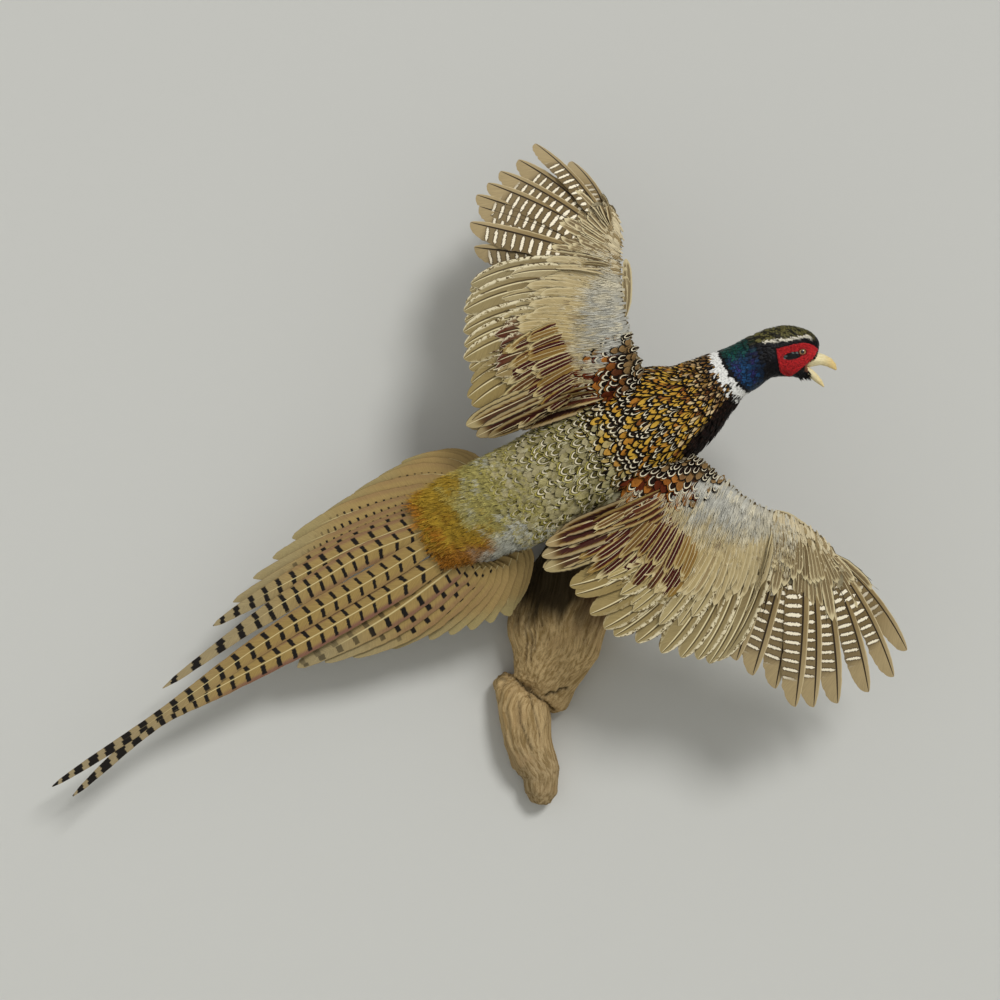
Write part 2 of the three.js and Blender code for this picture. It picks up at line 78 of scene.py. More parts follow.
def smooth(value, low, high):
    t = np.clip((value - low) / (high - low), 0, 1)
    return t * t * (3 - 2 * t)


def mixed(a, b, share):
    share = np.asarray(share)[..., None]
    return a * (1 - share) + b * share


def squashed(value):
    # turns a round section a little boxier
    return np.sign(value) * np.abs(value) ** 0.9


# meshes and pieces
def meshOf(bm, name):
    mesh = bpy.data.meshes.new(name)
    bm.to_mesh(mesh)
    bm.free()
    return mesh


def smoothed(mesh):
    mesh.polygons.foreach_set("use_smooth", np.ones(len(mesh.polygons), bool))
    return mesh


def addPiece(name, data):
    piece = bpy.data.objects.new(name, data)
    bpy.context.collection.objects.link(piece)
    return piece


def keepPiece(piece, slotName, *nodes):
    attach(piece, "root")
    if nodes:
        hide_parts(*nodes)


def fillMesh(mesh, places, faces):
    mesh.vertices.add(len(places))
    mesh.vertices.foreach_set("co", places.astype(np.float32).ravel())
    mesh.loops.add(faces.size)
    mesh.loops.foreach_set("vertex_index", faces.astype(np.int32).ravel())
    mesh.polygons.add(len(faces))
    mesh.polygons.foreach_set("loop_start", np.arange(0, faces.size, 3, dtype=np.int32))
    smoothed(mesh).update(calc_edges=True)


def setMap(mesh, name, spots):
    mesh.uv_layers.new(name=name).data.foreach_set("uv", spots.astype(np.float32).ravel())


def setLayer(mesh, name, kind, values):
    layer = mesh.attributes.new(name, kind, "POINT")
    key = {"FLOAT_COLOR": "color", "FLOAT_VECTOR": "vector", "FLOAT": "value"}[kind]
    layer.data.foreach_set(key, values.astype(np.float32).ravel())


def setTone(mesh, name, values):
    setLayer(mesh, name, "FLOAT_COLOR", np.hstack([values, np.ones((len(values), 1))]))


def readPoints(items, name, kind=np.float32, width=3):
    # a number row for each vertex or edge of a mesh
    found = np.zeros(len(items) * width, kind)
    items.foreach_get(name, found)
    return found.reshape(-1, width)


# the bird's build
# x, off the wall, z, then half sizes up, down, to the viewer and to the wall
bodyStations = [
    (-121, 108, 125, 40, 38, 7, 7), (-96, 115, 135, 46, 44, 16, 15), (-60, 125, 150, 49, 49, 26, 27),
    (-20, 134, 169, 50, 54, 37, 41), (25, 142, 192, 53, 50, 46, 53), (70, 150, 216, 54, 51, 51, 60),
    (110, 158, 238, 55, 51, 49, 59), (139, 166, 252, 43, 41, 41, 48), (160, 174, 265, 38, 29, 31, 32),
    (176, 182, 278, 31, 23, 24, 23), (189, 188, 288, 25, 24, 20, 19), (206, 194, 299, 23, 23, 18, 18),
    (221, 197, 303, 25, 23.5, 17.5, 17.5), (235, 199, 304, 25.5, 24, 17, 17),
    (247, 200, 304, 22.5, 25, 15.5, 15.5), (257, 200, 303, 17, 13, 11, 11), (263, 200, 302, 9, 6, 6, 6),
]
# each wing's front edge, the rear edge of its flesh, and where its rows of feathers start and end;
# sweep is the way that they bend, and bend how much the secondaries do
wings = {
    "right": {
        "lead": [(101, 172, 192), (126, 182, 196), (145, 188, 200), (169, 196, 180), (196, 202, 158),
                 (221, 205, 146), (245, 203, 136), (260, 199, 127), (275, 193, 113), (288, 186, 93)],
        "coverts": [(46, 158, 146), (57, 170, 113), (89, 180, 77), (120, 184, 65), (161, 187, 69),
                    (203, 190, 83), (231, 188, 75), (252, 186, 73), (272, 184, 75), (288, 184, 87)],
        "primaryRoots": [(226, 194, 138), (275, 188, 106)],
        "primaryTips": [(182, 167, -1), (196, 165, -4), (202, 162, -16), (226, 156, -29), (246, 150, -49),
                        (265, 143, -50), (290, 136, -45), (321, 129, -35), (349, 122, -21), (360, 118, 5)],
        "secondaryRoots": [(138, 184, 138), (153, 186, 124), (187, 190, 128), (219, 194, 134)],
        "secondaryTips": [(21, 160, 72), (46, 161, 35), (74, 163, 19), (121, 167, 3), (151, 168, -3),
                          (170, 168, -1)],
        "tertialRoots": [(112, 178, 170), (136, 183, 142)],
        "tertialTips": [(10, 156, 124), (-9, 158, 108), (-5, 159, 88)],
        "alula": [(222, 198, 147), (262, 190, 120)],
        "scapularRoots": [(81, 180, 153), (104, 184, 150), (129, 188, 138), (147, 190, 115)],
        "scapularTips": [(25, 166, 113), (39, 168, 84), (74, 170, 62), (112, 174, 56)],
        "sweep": 1, "bend": 0.07,
    },
    "left": {
        "lead": [(109, 170, 257), (93, 182, 279), (88, 188, 296), (78, 196, 323), (72, 202, 349),
                 (69, 205, 379), (69, 203, 399), (70, 197, 418), (66, 188, 439), (55, 178, 455)],
        "coverts": [(25, 158, 248), (-15, 170, 262), (-42, 178, 289), (-42, 182, 318), (-24, 186, 351),
                    (4, 188, 383), (17, 186, 403), (32, 180, 427), (46, 176, 444), (54, 175, 452)],
        "primaryRoots": [(60, 196, 384), (60, 182, 428)],
        "primaryTips": [(-39, 160, 386), (-77, 158, 411), (-80, 148, 434), (-73, 138, 452), (-72, 130, 466),
                        (-62, 122, 477), (-50, 110, 491), (-30, 98, 504), (-15, 86, 521), (23, 80, 506)],
        "secondaryRoots": [(39, 182, 287), (34, 186, 316), (45, 190, 355), (60, 194, 380)],
        "secondaryTips": [(-79, 163, 256), (-82, 165, 280), (-86, 167, 307), (-85, 168, 330),
                          (-86, 168, 349), (-80, 167, 371)],
        "tertialRoots": [(56, 174, 260), (36, 182, 289)],
        "tertialTips": [(-35, 156, 232), (-70, 158, 220), (-81, 160, 235)],
        "alula": [(73, 196, 338), (74, 190, 396)],
        "scapularRoots": [(27, 180, 263), (30, 182, 287), (25, 184, 311), (10, 188, 334)],
        "scapularTips": [(-22, 168, 233), (-50, 168, 244), (-53, 170, 270), (-50, 174, 297)],
        "sweep": -1, "bend": 0.11,
    },
}
wingThickness = [30, 27, 24, 20, 18, 15, 12, 9, 6, 3.5]
# tail feathers: the node each stands for, the shaft's line, half widths of its upper and lower
# web, how far across its bars reach with the mauve of its edges, and its layer from the viewer
tailShafts = [
    ("middle", [(-90, 118, 134), (-179, 100, 78), (-280, 84, 20), (-398, 70, -63), (-511, 62, -137)],
     (12, 12), (1.0, 0.25), 0.0),
    ("middle", [(-74, 116, 117), (-169, 98, 60), (-249, 86, 14), (-340, 76, -35), (-409, 70, -75),
                (-490, 62, -147)], (13, 13.5), (1.0, 0.9), 1.6),
    ("left", [(-101, 117, 138), (-134, 110, 124), (-188, 100, 103), (-227, 95, 80), (-269, 90, 55),
              (-320, 84, 21), (-396, 76, -35)], (11, 14), (0.95, 0.55), 2.4),
    ("left", [(-106, 116, 144), (-151, 106, 129), (-203, 97, 108), (-254, 91, 81), (-300, 86, 56),
              (-344, 80, 29)], (11, 12), (0.85, 0.6), 3.4),
    ("left", [(-106, 114, 153), (-141, 104, 144), (-179, 96, 129), (-223, 90, 111), (-259, 85, 97),
              (-303, 80, 78)], (13, 11), (0.55, 0.5), 4.2),
    ("left", [(-101, 112, 168), (-136, 102, 162), (-167, 95, 155), (-203, 90, 145), (-234, 85, 133),
              (-263, 80, 119)], (13, 12), (0.3, 0.3), 4.8),
    ("left", [(-88, 112, 180), (-111, 104, 184), (-137, 97, 183), (-167, 89, 176), (-201, 82, 162)],
     (12, 12), (0.2, 0.15), 5.4),
    ("left", [(-76, 112, 190), (-96, 104, 199), (-116, 97, 201), (-134, 90, 199), (-151, 84, 196)],
     (7, 12), (0.1, 0.0), 6.0),
    ("left", [(-67, 112, 195), (-82, 104, 203), (-99, 98, 206), (-113, 92, 205), (-128, 86, 201)],
     (5, 10), (0.0, 0.0), 6.6),
    ("right", [(-84, 114, 101), (-109, 104, 80), (-158, 92, 44), (-209, 82, 13), (-258, 74, -14)],
     (15, 14), (0.75, 0.8), 3.0),
    ("right", [(-70, 112, 91), (-92, 102, 72), (-127, 92, 40), (-162, 82, 16), (-201, 76, -3)],
     (13, 14), (0.6, 0.4), 4.0),
    ("right", [(-58, 111, 91), (-72, 102, 70), (-88, 94, 54), (-104, 86, 35), (-122, 78, 15)],
     (13, 13), (0.35, 0.2), 4.8),
    ("right", [(-45, 110, 93), (-55, 102, 73), (-64, 95, 56), (-72, 88, 41), (-80, 81, 25)],
     (12, 12), (0.0, 0.1), 5.4),
    ("right", [(-31, 108, 105), (-35, 102, 87), (-40, 96, 68), (-42, 90, 54), (-40, 84, 39)],
     (11, 11), (0.0, 0.0), 6.0),
    ("right", [(-22, 106, 110), (-24, 101, 94), (-28, 96, 77), (-32, 91, 62), (-35, 86, 50)],
     (10, 9), (0.0, 0.0), 6.6),
]


def bodySurface(at, turn, grow):
    # a place on the body and the way out of it; turn 0 is up, a quarter turn faces the viewer
    row = between(bodyStations, at)
    ahead, behind = between(bodyStations, at + 0.05), between(bodyStations, at - 0.05)
    along = unit(spot(ahead[..., :3]) - spot(behind[..., :3]))
    across = unit(np.cross(along, (0, 1, 0)))
    outward = np.cross(along, across)
    c, s = squashed(np.cos(turn)), squashed(np.sin(turn))
    high = np.where(c > 0, row[..., 3], row[..., 4]) * mm + grow
    deep = np.where(s > 0, row[..., 5], row[..., 6]) * mm + grow
    reach = across * (c * high)[..., None] + outward * (s * deep)[..., None]
    return spot(row[..., :3]) + reach, reach


def wingSurface(wing, under=False):
    # at runs out along the wing, chord from its front edge to the rear, grow away from the flesh
    chordShares = [0, 0.05, 0.22, 0.6, 1]
    heights = [0, -0.3, -0.3, -0.1, -0.09] if under else [0, 0.45, 0.7, 0.42, 0.09]
    thickness = [(t,) for t in wingThickness]

    def surface(at, chord, grow):
        front, rear = spot(between(wing["lead"], at)), spot(between(wing["coverts"], at))
        reach = rear - front
        span = spot(between(wing["lead"], at + 0.1)) - spot(between(wing["lead"], at - 0.1))
        normal = unit(np.cross(reach, span))
        normal = np.where(normal[..., 1:2] > 0, -normal, normal)
        thick = between(thickness, at)[..., 0] * mm
        height = np.interp(chord, chordShares, heights) * thick + (-grow if under else grow)
        return front + reach * chord[..., None] + normal * height[..., None], -normal if under else normal
    return surface


# camera, backdrop and light
stageSet = {"cameraX": -0.05, "cameraZ": 0.158, "distance": 3.15, "lens": 108, "sensor": 36,
            "wall": "c9c9c4", "behind": 0.0015, "floorZ": -0.62, "sheet": 6, "world": 0.5,
            "sun": 1.75, "sunSpread": 16, "sunAim": (-0.36, 0.78, -0.5)}


def makeStage():
    camera = bpy.data.cameras.new("camera")
    camera.lens, camera.sensor_width = stageSet["lens"], stageSet["sensor"]
    rig = addPiece("camera", camera)
    rig.location = (stageSet["cameraX"], -stageSet["distance"], stageSet["cameraZ"])
    rig.rotation_euler = (math.pi / 2, 0, 0)
    bpy.context.scene.camera = rig

    plain = bpy.data.materials.new("paleBackdrop")
    plain.use_nodes = True
    tree = plain.node_tree
    shader = tree.nodes["Principled BSDF"]
    shader.inputs["Base Color"].default_value = paint(stageSet["wall"])
    shader.inputs["Roughness"].default_value = 0.95
    shader.inputs["Specular IOR Level"].default_value = 0.1
    seeThrough = tree.nodes.new("ShaderNodeBsdfTransparent")
    facing = tree.nodes.new("ShaderNodeNewGeometry")
    choice = tree.nodes.new("ShaderNodeMixShader")
    tree.links.new(facing.outputs["Backfacing"], choice.inputs[0])
    tree.links.new(shader.outputs[0], choice.inputs[1])
    tree.links.new(seeThrough.outputs[0], choice.inputs[2])
    tree.links.new(choice.outputs[0], tree.nodes["Material Output"].inputs["Surface"])
    for name, turn, place in (("backdrop", math.pi / 2, (0, stageSet["behind"], 0)),
                              ("floor", 0, (0, 0, stageSet["floorZ"]))):
        bm = bmesh.new()
        bmesh.ops.create_grid(bm, x_segments=1, y_segments=1, size=stageSet["sheet"])
        bmesh.ops.rotate(bm, verts=bm.verts, matrix=Matrix.Rotation(turn, 3, "X"))
        bmesh.ops.translate(bm, verts=bm.verts, vec=place)
        sheet = addPiece(name, meshOf(bm, name))
        sheet.data.materials.append(plain)

    world = bpy.data.worlds.new("softRoom")
    world.use_nodes = True
    air = world.node_tree.nodes["Background"]
    air.inputs["Color"].default_value = (1, 1, 1, 1)
    air.inputs["Strength"].default_value = stageSet["world"]
    bpy.context.scene.world = world
    lamp = bpy.data.lights.new("keyLight", "SUN")
    lamp.energy, lamp.angle = stageSet["sun"], math.radians(stageSet["sunSpread"])
    sun = addPiece("keyLight", lamp)
    sun.rotation_mode = "QUATERNION"
    sun.rotation_quaternion = Vector(stageSet["sunAim"]).to_track_quat("-Z", "Y")
    bpy.context.scene.view_settings.view_transform = "Standard"


makeStage()
print("camera, backdrop and light are in place")


# shader helpers
def newMaterial(name):
    made = bpy.data.materials.new(name)
    made.use_nodes = True
    return made, made.node_tree


def put(tree, kind, *values, **settings):
    made = tree.nodes.new(kind)
    for key, value in settings.items():
        setattr(made, key, value)
    for socket, value in zip(made.inputs, values):
        if isinstance(value, bpy.types.NodeSocket):
            tree.links.new(value, socket)
        elif value is not None:
            socket.default_value = value
    return made.outputs[0]


def calc(tree, operation, *values):
    return put(tree, "ShaderNodeMath", *values, operation=operation)


def times(tree, first, *others):
    for value in others:
        first = calc(tree, "MULTIPLY", first, value)
    return first


def plus(tree, first, *others):
    for value in others:
        first = calc(tree, "ADD", first, value)
    return first


def minus(tree, first, second):
    return calc(tree, "SUBTRACT", first, second)


def axes(tree, vector):
    # the three numbers of a vector
    split = tree.nodes.new("ShaderNodeSeparateXYZ")
    tree.links.new(vector, split.inputs[0])
    return split.outputs


def rise(tree, value, low, high):
    # 0 below low, 1 above high, smooth between; low may be the larger
    if low > high:
        return minus(tree, 1.0, rise(tree, value, high, low))
    return put(tree, "ShaderNodeMapRange", value, low, high, 0.0, 1.0, interpolation_type="SMOOTHSTEP")


def band(tree, value, middle, half, soft):
    away = calc(tree, "ABSOLUTE", minus(tree, value, middle))
    return rise(tree, away, half + soft, half)


def tinted(tree, share, first, second, way="MIX"):
    made = tree.nodes.new("ShaderNodeMix")
    made.data_type, made.blend_type = "RGBA", way
    for index, value in ((0, share), (6, first), (7, second)):
        if isinstance(value, bpy.types.NodeSocket):
            tree.links.new(value, made.inputs[index])
        else:
            made.inputs[index].default_value = value
    return made.outputs[2]


def speckle(tree, place, scale, detail=2.0, roughness=0.55):
    made = tree.nodes.new("ShaderNodeTexNoise")
    made.inputs["Scale"].default_value = scale
    made.inputs["Detail"].default_value = detail
    made.inputs["Roughness"].default_value = roughness
    tree.links.new(place, made.inputs["Vector"])
    return made.outputs["Fac"]


def cells(tree, place, scale):
    # how far a point lies from the middle of its cell
    made = tree.nodes.new("ShaderNodeTexVoronoi")
    made.inputs["Scale"].default_value = scale
    tree.links.new(place, made.inputs["Vector"])
    return made.outputs["Distance"]


def attribute(tree, name, output="Fac"):
    made = tree.nodes.new("ShaderNodeAttribute")
    made.attribute_name = name
    return made.outputs[output]


def finishWith(tree, color, roughness, height=None, depth=0.3, reach=0.001, **settings):
    shader = tree.nodes["Principled BSDF"]
    for name, value in (("Base Color", color), ("Roughness", roughness)):
        if isinstance(value, bpy.types.NodeSocket):
            tree.links.new(value, shader.inputs[name])
        else:
            shader.inputs[name].default_value = value
    for name, value in {"Specular IOR Level": 0.2, **settings}.items():
        shader.inputs[name].default_value = value
    if height is not None:
        bump = tree.nodes.new("ShaderNodeBump")
        bump.inputs["Strength"].default_value = depth
        bump.inputs["Distance"].default_value = reach
        tree.links.new(height, bump.inputs["Height"])
        tree.links.new(bump.outputs[0], shader.inputs["Normal"])


def makeBarbGroup():
    # where a point lies on its feather, and the fine barbs that slant off the shaft
    group = bpy.data.node_groups.new("featherBarbs", "ShaderNodeTree")
    face = group.interface
    for name in ("Barbs", "Slant"):
        face.new_socket(name, in_out="INPUT", socket_type="NodeSocketFloat")
    for name in ("Side", "Across", "Along", "Streak"):
        face.new_socket(name, in_out="OUTPUT", socket_type="NodeSocketFloat")
    given = group.nodes.new("NodeGroupInput")
    sent = group.nodes.new("NodeGroupOutput")
    vane = group.nodes.new("ShaderNodeUVMap")
    vane.uv_map = "Vane"
    column, along = axes(group, vane.outputs[0])[:2]
    side = calc(group, "MULTIPLY_ADD", column, 2.0, -1.0)
    across = calc(group, "ABSOLUTE", side)
    slanted = minus(group, along, times(group, across, given.outputs["Slant"]))
    lane = put(group, "ShaderNodeCombineXYZ", times(group, side, 1.3),
               times(group, slanted, given.outputs["Barbs"]), times(group, attribute(group, "marks2"), 37.0))
    streak = speckle(group, lane, 1.0, 3.0, 0.7)
    for name, value in (("Side", side), ("Across", across), ("Along", along), ("Streak", streak)):
        group.links.new(value, sent.inputs[name])
    return group


barbGroup = makeBarbGroup()
barbDepth = 0.0006


def barbs(tree, count, slant):
    # count is how many barbs run along the feather, slant how far they lean to its tip
    made = tree.nodes.new("ShaderNodeGroup")
    made.node_tree = barbGroup
    made.inputs["Barbs"].default_value = count
    made.inputs["Slant"].default_value = slant
    return made.outputs


def marks(tree):
    return axes(tree, attribute(tree, "marks", "Vector"))


def streaked(tree, color, streak, low=0.72, high=1.22):
    # barbs darken and lighten a colour a little
    share = put(tree, "ShaderNodeMapRange", streak, 0.3, 0.7, low, high)
    gray = put(tree, "ShaderNodeCombineXYZ", share, share, share)
    return tinted(tree, 1.0, color, gray, "MULTIPLY")


def ringedMaterial(name, roughness=0.62, **settings):
    # body feathers: an edge colour, a pale ring with dusky outlines, a dark heart and a black
    # fringe; marks holds the ring's place, the ring's strength and the fringe's width
    made, tree = newMaterial(name)
    vane = barbs(tree, 26.0, 0.25)
    mark = marks(tree)
    down = calc(tree, "DIVIDE", calc(tree, "MAXIMUM", minus(tree, vane["Along"], 0.42), 0.0), 0.56)
    wave = calc(tree, "MULTIPLY_ADD", vane["Streak"], 0.24, -0.12)
    far = plus(tree, times(tree, vane["Across"], vane["Across"]), times(tree, down, down))
    ring = plus(tree, wave, calc(tree, "SQRT", far))
    away = calc(tree, "ABSOLUTE", minus(tree, ring, mark[0]))
    pale = times(tree, rise(tree, away, 0.12, 0.06), mark[1])
    dusk = times(tree, rise(tree, away, 0.27, 0.18), mark[1])
    heart = rise(tree, minus(tree, ring, mark[0]), 0.02, -0.06)
    fringe = rise(tree, plus(tree, ring, mark[2]), 0.93, 1.0)
    tint = attribute(tree, "tint", "Color")
    color = tinted(tree, heart, attribute(tree, "tone", "Color"), tint)
    color = streaked(tree, color, vane["Streak"], 0.6, 1.3)
    color = tinted(tree, dusk, color, tinted(tree, 1.0, tint, (0.16, 0.15, 0.14, 1.0), "MULTIPLY"))
    color = tinted(tree, pale, color, paint("eee3c4"))
    color = tinted(tree, fringe, color, paint("120d09"))
    finishWith(tree, color, roughness, vane["Streak"], 0.35, barbDepth, **settings)
    return made


def hairMaterial(name, roughness=0.6, **settings):
    # loose feathers whose barbs part like hair, darker at the root
    made, tree = newMaterial(name)
    vane = barbs(tree, 3.0, 0.0)
    color = tinted(tree, rise(tree, vane["Along"], 0.1, 0.75),
                   attribute(tree, "tint", "Color"), attribute(tree, "tone", "Color"))
    color = streaked(tree, color, vane["Streak"], 0.72, 1.25)
    finishWith(tree, color, roughness, **settings)
    return made


def shaftOver(tree, vane, color, shade, half):
    line = rise(tree, vane["Across"], half + 0.035, half)
    return tinted(tree, line, color, shade)


def barsAlong(tree, vane, count, lean, half, stagger=0.0, ragged=0.4):
    # bars across the shaft: how many along it, their lean, their half width as a share of the
    # gap, how far those of one web are set off from the other's, and how ragged they are
    place = plus(tree, times(tree, vane["Along"], count), times(tree, vane["Across"], lean),
                 times(tree, attribute(tree, "marks2"), 7.0),
                 calc(tree, "MULTIPLY_ADD", vane["Streak"], ragged, -ragged / 2))
    if stagger:
        place = plus(tree, place, times(tree, rise(tree, vane["Side"], -0.02, 0.02), stagger))
    away = calc(tree, "ABSOLUTE", minus(tree, calc(tree, "FRACT", place), 0.5))
    return rise(tree, minus(tree, half, away), -0.02, 0.04)


def primaryMaterial():
    # brown vanes with cream bars on the inner web and a plain tip; marks holds the bars' count,
    # the plain share of the tip and the strength of the bars
    made, tree = newMaterial("primaryVane")
    vane = barbs(tree, 110.0, 0.1)
    mark = marks(tree)
    base = tinted(tree, rise(tree, vane["Along"], 0.5, 0.9), paint("8d7850"), paint("ac9870"))
    base = streaked(tree, base, vane["Streak"], 0.85, 1.12)
    inner = rise(tree, vane["Side"], -0.03, -0.1)
    before = minus(tree, 1.0, plus(tree, vane["Along"], mark[1]))
    window = times(tree, rise(tree, before, 0.0, 0.05), mark[2])
    middle = band(tree, vane["Across"], 0.52, 0.25, 0.25)
    inner = times(tree, inner, window)
    width = calc(tree, "MULTIPLY_ADD", rise(tree, vane["Along"], 0.7, 0.35), 0.06, 0.15)
    width = times(tree, middle, width)
    bars = times(tree, barsAlong(tree, vane, mark[0], 0.55, width), inner)
    around = times(tree, barsAlong(tree, vane, mark[0], 0.55, plus(tree, width, 0.13)), inner)
    color = tinted(tree, times(tree, inner, 0.5), base, paint("54452c"))
    color = tinted(tree, times(tree, around, 0.7), color, paint("4d3e29"))
    color = tinted(tree, bars, color, paint("faefd4"))
    edge = rise(tree, vane["Side"], 0.7, 0.95)
    color = tinted(tree, edge, color, paint("c9b78e"))
    color = shaftOver(tree, vane, color, paint("33281b"), 0.06)
    finishWith(tree, color, 0.5, vane["Streak"], 0.25, barbDepth)
    return made


def secondaryMaterial():
    # olive-brown vanes, pale shafts, and cream freckles along their edges; marks holds a seed
    # and the freckles' strength
    made, tree = newMaterial("secondaryVane")
    vane = barbs(tree, 110.0, 0.12)
    mark = marks(tree)
    base = tinted(tree, rise(tree, vane["Along"], 0.3, 0.95),
                  attribute(tree, "tint", "Color"), attribute(tree, "tone", "Color"))
    base = streaked(tree, base, vane["Streak"], 0.82, 1.15)
    lane = put(tree, "ShaderNodeCombineXYZ", times(tree, vane["Side"], 3.5),
               times(tree, vane["Along"], 34.0), mark[0])
    freckle = speckle(tree, lane, 1.0, 2.0, 0.6)
    near = times(tree, rise(tree, vane["Side"], 0.5, 0.8), mark[1])
    inward = times(tree, rise(tree, vane["Side"], -0.6, -0.95), times(tree, mark[1], 0.6))
    near = calc(tree, "MAXIMUM", near, inward)
    pale = times(tree, rise(tree, freckle, 0.42, 0.5), near)
    dark = times(tree, rise(tree, freckle, 0.42, 0.36), near)
    color = tinted(tree, dark, base, paint("4a3a24"))
    color = tinted(tree, pale, color, paint("e6dab6"))
    beside = band(tree, vane["Side"], 0.15, 0.05, 0.05)
    color = tinted(tree, times(tree, beside, 0.8), color, paint("3b2c1a"))
    color = tinted(tree, rise(tree, vane["Across"], 0.955, 0.985), color, paint("54442c"))
    color = shaftOver(tree, vane, color, paint("ecdfb4"), 0.03)
    finishWith(tree, color, 0.52, vane["Streak"], 0.25, barbDepth)
    return made


def streakMaterial(name):
    # coverts and tertials: a coloured heart, pale edges and a thin dark rim; marks holds the
    # strength of the heart, of the pale edges and of the rim
    made, tree = newMaterial(name)
    vane = barbs(tree, 50.0, 0.2)
    mark = marks(tree)
    wave = calc(tree, "MULTIPLY_ADD", vane["Streak"], 0.6, -0.3)
    ragged = plus(tree, vane["Across"], wave)
    heart = times(tree, rise(tree, ragged, 0.7, 0.5), rise(tree, vane["Along"], 0.96, 0.84))
    color = tinted(tree, times(tree, heart, mark[0]), attribute(tree, "tone", "Color"),
                   attribute(tree, "tint", "Color"))
    color = streaked(tree, color, vane["Streak"], 0.78, 1.18)
    edge = calc(tree, "MAXIMUM", rise(tree, vane["Across"], 0.62, 0.74),
                rise(tree, vane["Along"], 0.88, 0.95))
    color = tinted(tree, times(tree, edge, mark[1]), color, paint("dccda2"))
    rim = times(tree, rise(tree, vane["Across"], 0.88, 0.95), mark[2])
    color = tinted(tree, rim, color, paint("2c2015"))
    color = shaftOver(tree, vane, color, paint("dfd0a6"), 0.03)
    finishWith(tree, color, 0.58, vane["Streak"], 0.3, barbDepth)
    return made


def tailMaterial():
    # buff vanes with black bars, thick towards the tip; marks holds the bars' count, how far
    # across they reach (over 1 is both webs) and the mauve of the edges
    made, tree = newMaterial("tailVane")
    vane = barbs(tree, 260.0, 0.03)
    mark = marks(tree)
    along, side, across = vane["Along"], vane["Side"], vane["Across"]
    base = tinted(tree, rise(tree, along, 0.5, 0.9), attribute(tree, "tone", "Color"),
                  attribute(tree, "tint", "Color"))
    mauve = times(tree, times(tree, rise(tree, across, 0.5, 0.85), mark[2]),
                 times(tree, rise(tree, along, 0.08, 0.2), rise(tree, along, 0.7, 0.5)))
    base = tinted(tree, mauve, base, paint("7d5548"))
    base = streaked(tree, base, vane["Streak"], 0.82, 1.14)
    whole = rise(tree, mark[1], 0.8, 0.9)
    growth = calc(tree, "MULTIPLY_ADD", rise(tree, mark[1], 1.1, 1.14), 0.13, 0.03)
    half = calc(tree, "MULTIPLY_ADD", rise(tree, along, 0.15, 0.5), 0.035, 0.12)
    half = calc(tree, "MULTIPLY_ADD", rise(tree, along, 0.6, 0.95), growth, half)
    bar = barsAlong(tree, vane, mark[0], 0.0, half, 0.12, 0.22)
    bar = times(tree, bar, rise(tree, minus(tree, mark[1], across), 0.0, 0.1),
                calc(tree, "MAXIMUM", whole, rise(tree, side, 0.0, 0.06)),
                calc(tree, "MAXIMUM", whole, rise(tree, along, 0.8, 0.6)),
                calc(tree, "MAXIMUM", rise(tree, across, 0.06, 0.14), rise(tree, along, 0.4, 0.6)),
                calc(tree, "MAXIMUM", rise(tree, across, 0.9, 0.78), rise(tree, along, 0.5, 0.75)))
    color = tinted(tree, bar, base, paint("15100c"))
    pale = times(tree, rise(tree, across, 0.06, 0.02), rise(tree, along, 0.85, 0.65))
    color = tinted(tree, times(tree, pale, 0.75), color, paint("e2d29c"))
    color = tinted(tree, rise(tree, across, 0.95, 1.0), color, paint("7a6340"))
    finishWith(tree, color, 0.5, vane["Streak"], 0.25, barbDepth)
    return made


finishes = {
    "mantle": ringedMaterial("mantleFeather", **{"Specular IOR Level": 0.06}),
    "neck": ringedMaterial("neckFeather", 0.36, **{"Specular IOR Level": 0.16}),
    "hair": hairMaterial("looseFeather"),
    "primary": primaryMaterial(),
    "secondary": secondaryMaterial(),
    "covert": streakMaterial("covertVane"),
    "tail": tailMaterial(),
}
print("feather finishes are made")


# feather shapes
def outline(v, base=0.35, widest=0.35, shoulder=0.6, last=0.06):
    swell = base + (1 - base) * np.sin(np.clip(v / widest, 0, 1) * math.pi / 2)
    over = np.clip(v - shoulder, 0, None) / (1 - shoulder)
    return np.maximum(swell * np.sqrt(np.clip(1 - over ** 2, 0, 1)), last)


def gathered(bm, rows):
    # rows hold each vertex's column, place along the vane, place on the path, width and height
    bmesh.ops.triangulate(bm, faces=bm.faces)
    bm.verts.index_update()
    faces = np.array([[v.index for v in f.verts] for f in bm.faces])
    bm.free()
    column, along, path, out, height = np.array(rows, float).T
    return {"column": column, "along": along, "path": path, "out": out, "height": height, "faces": faces}


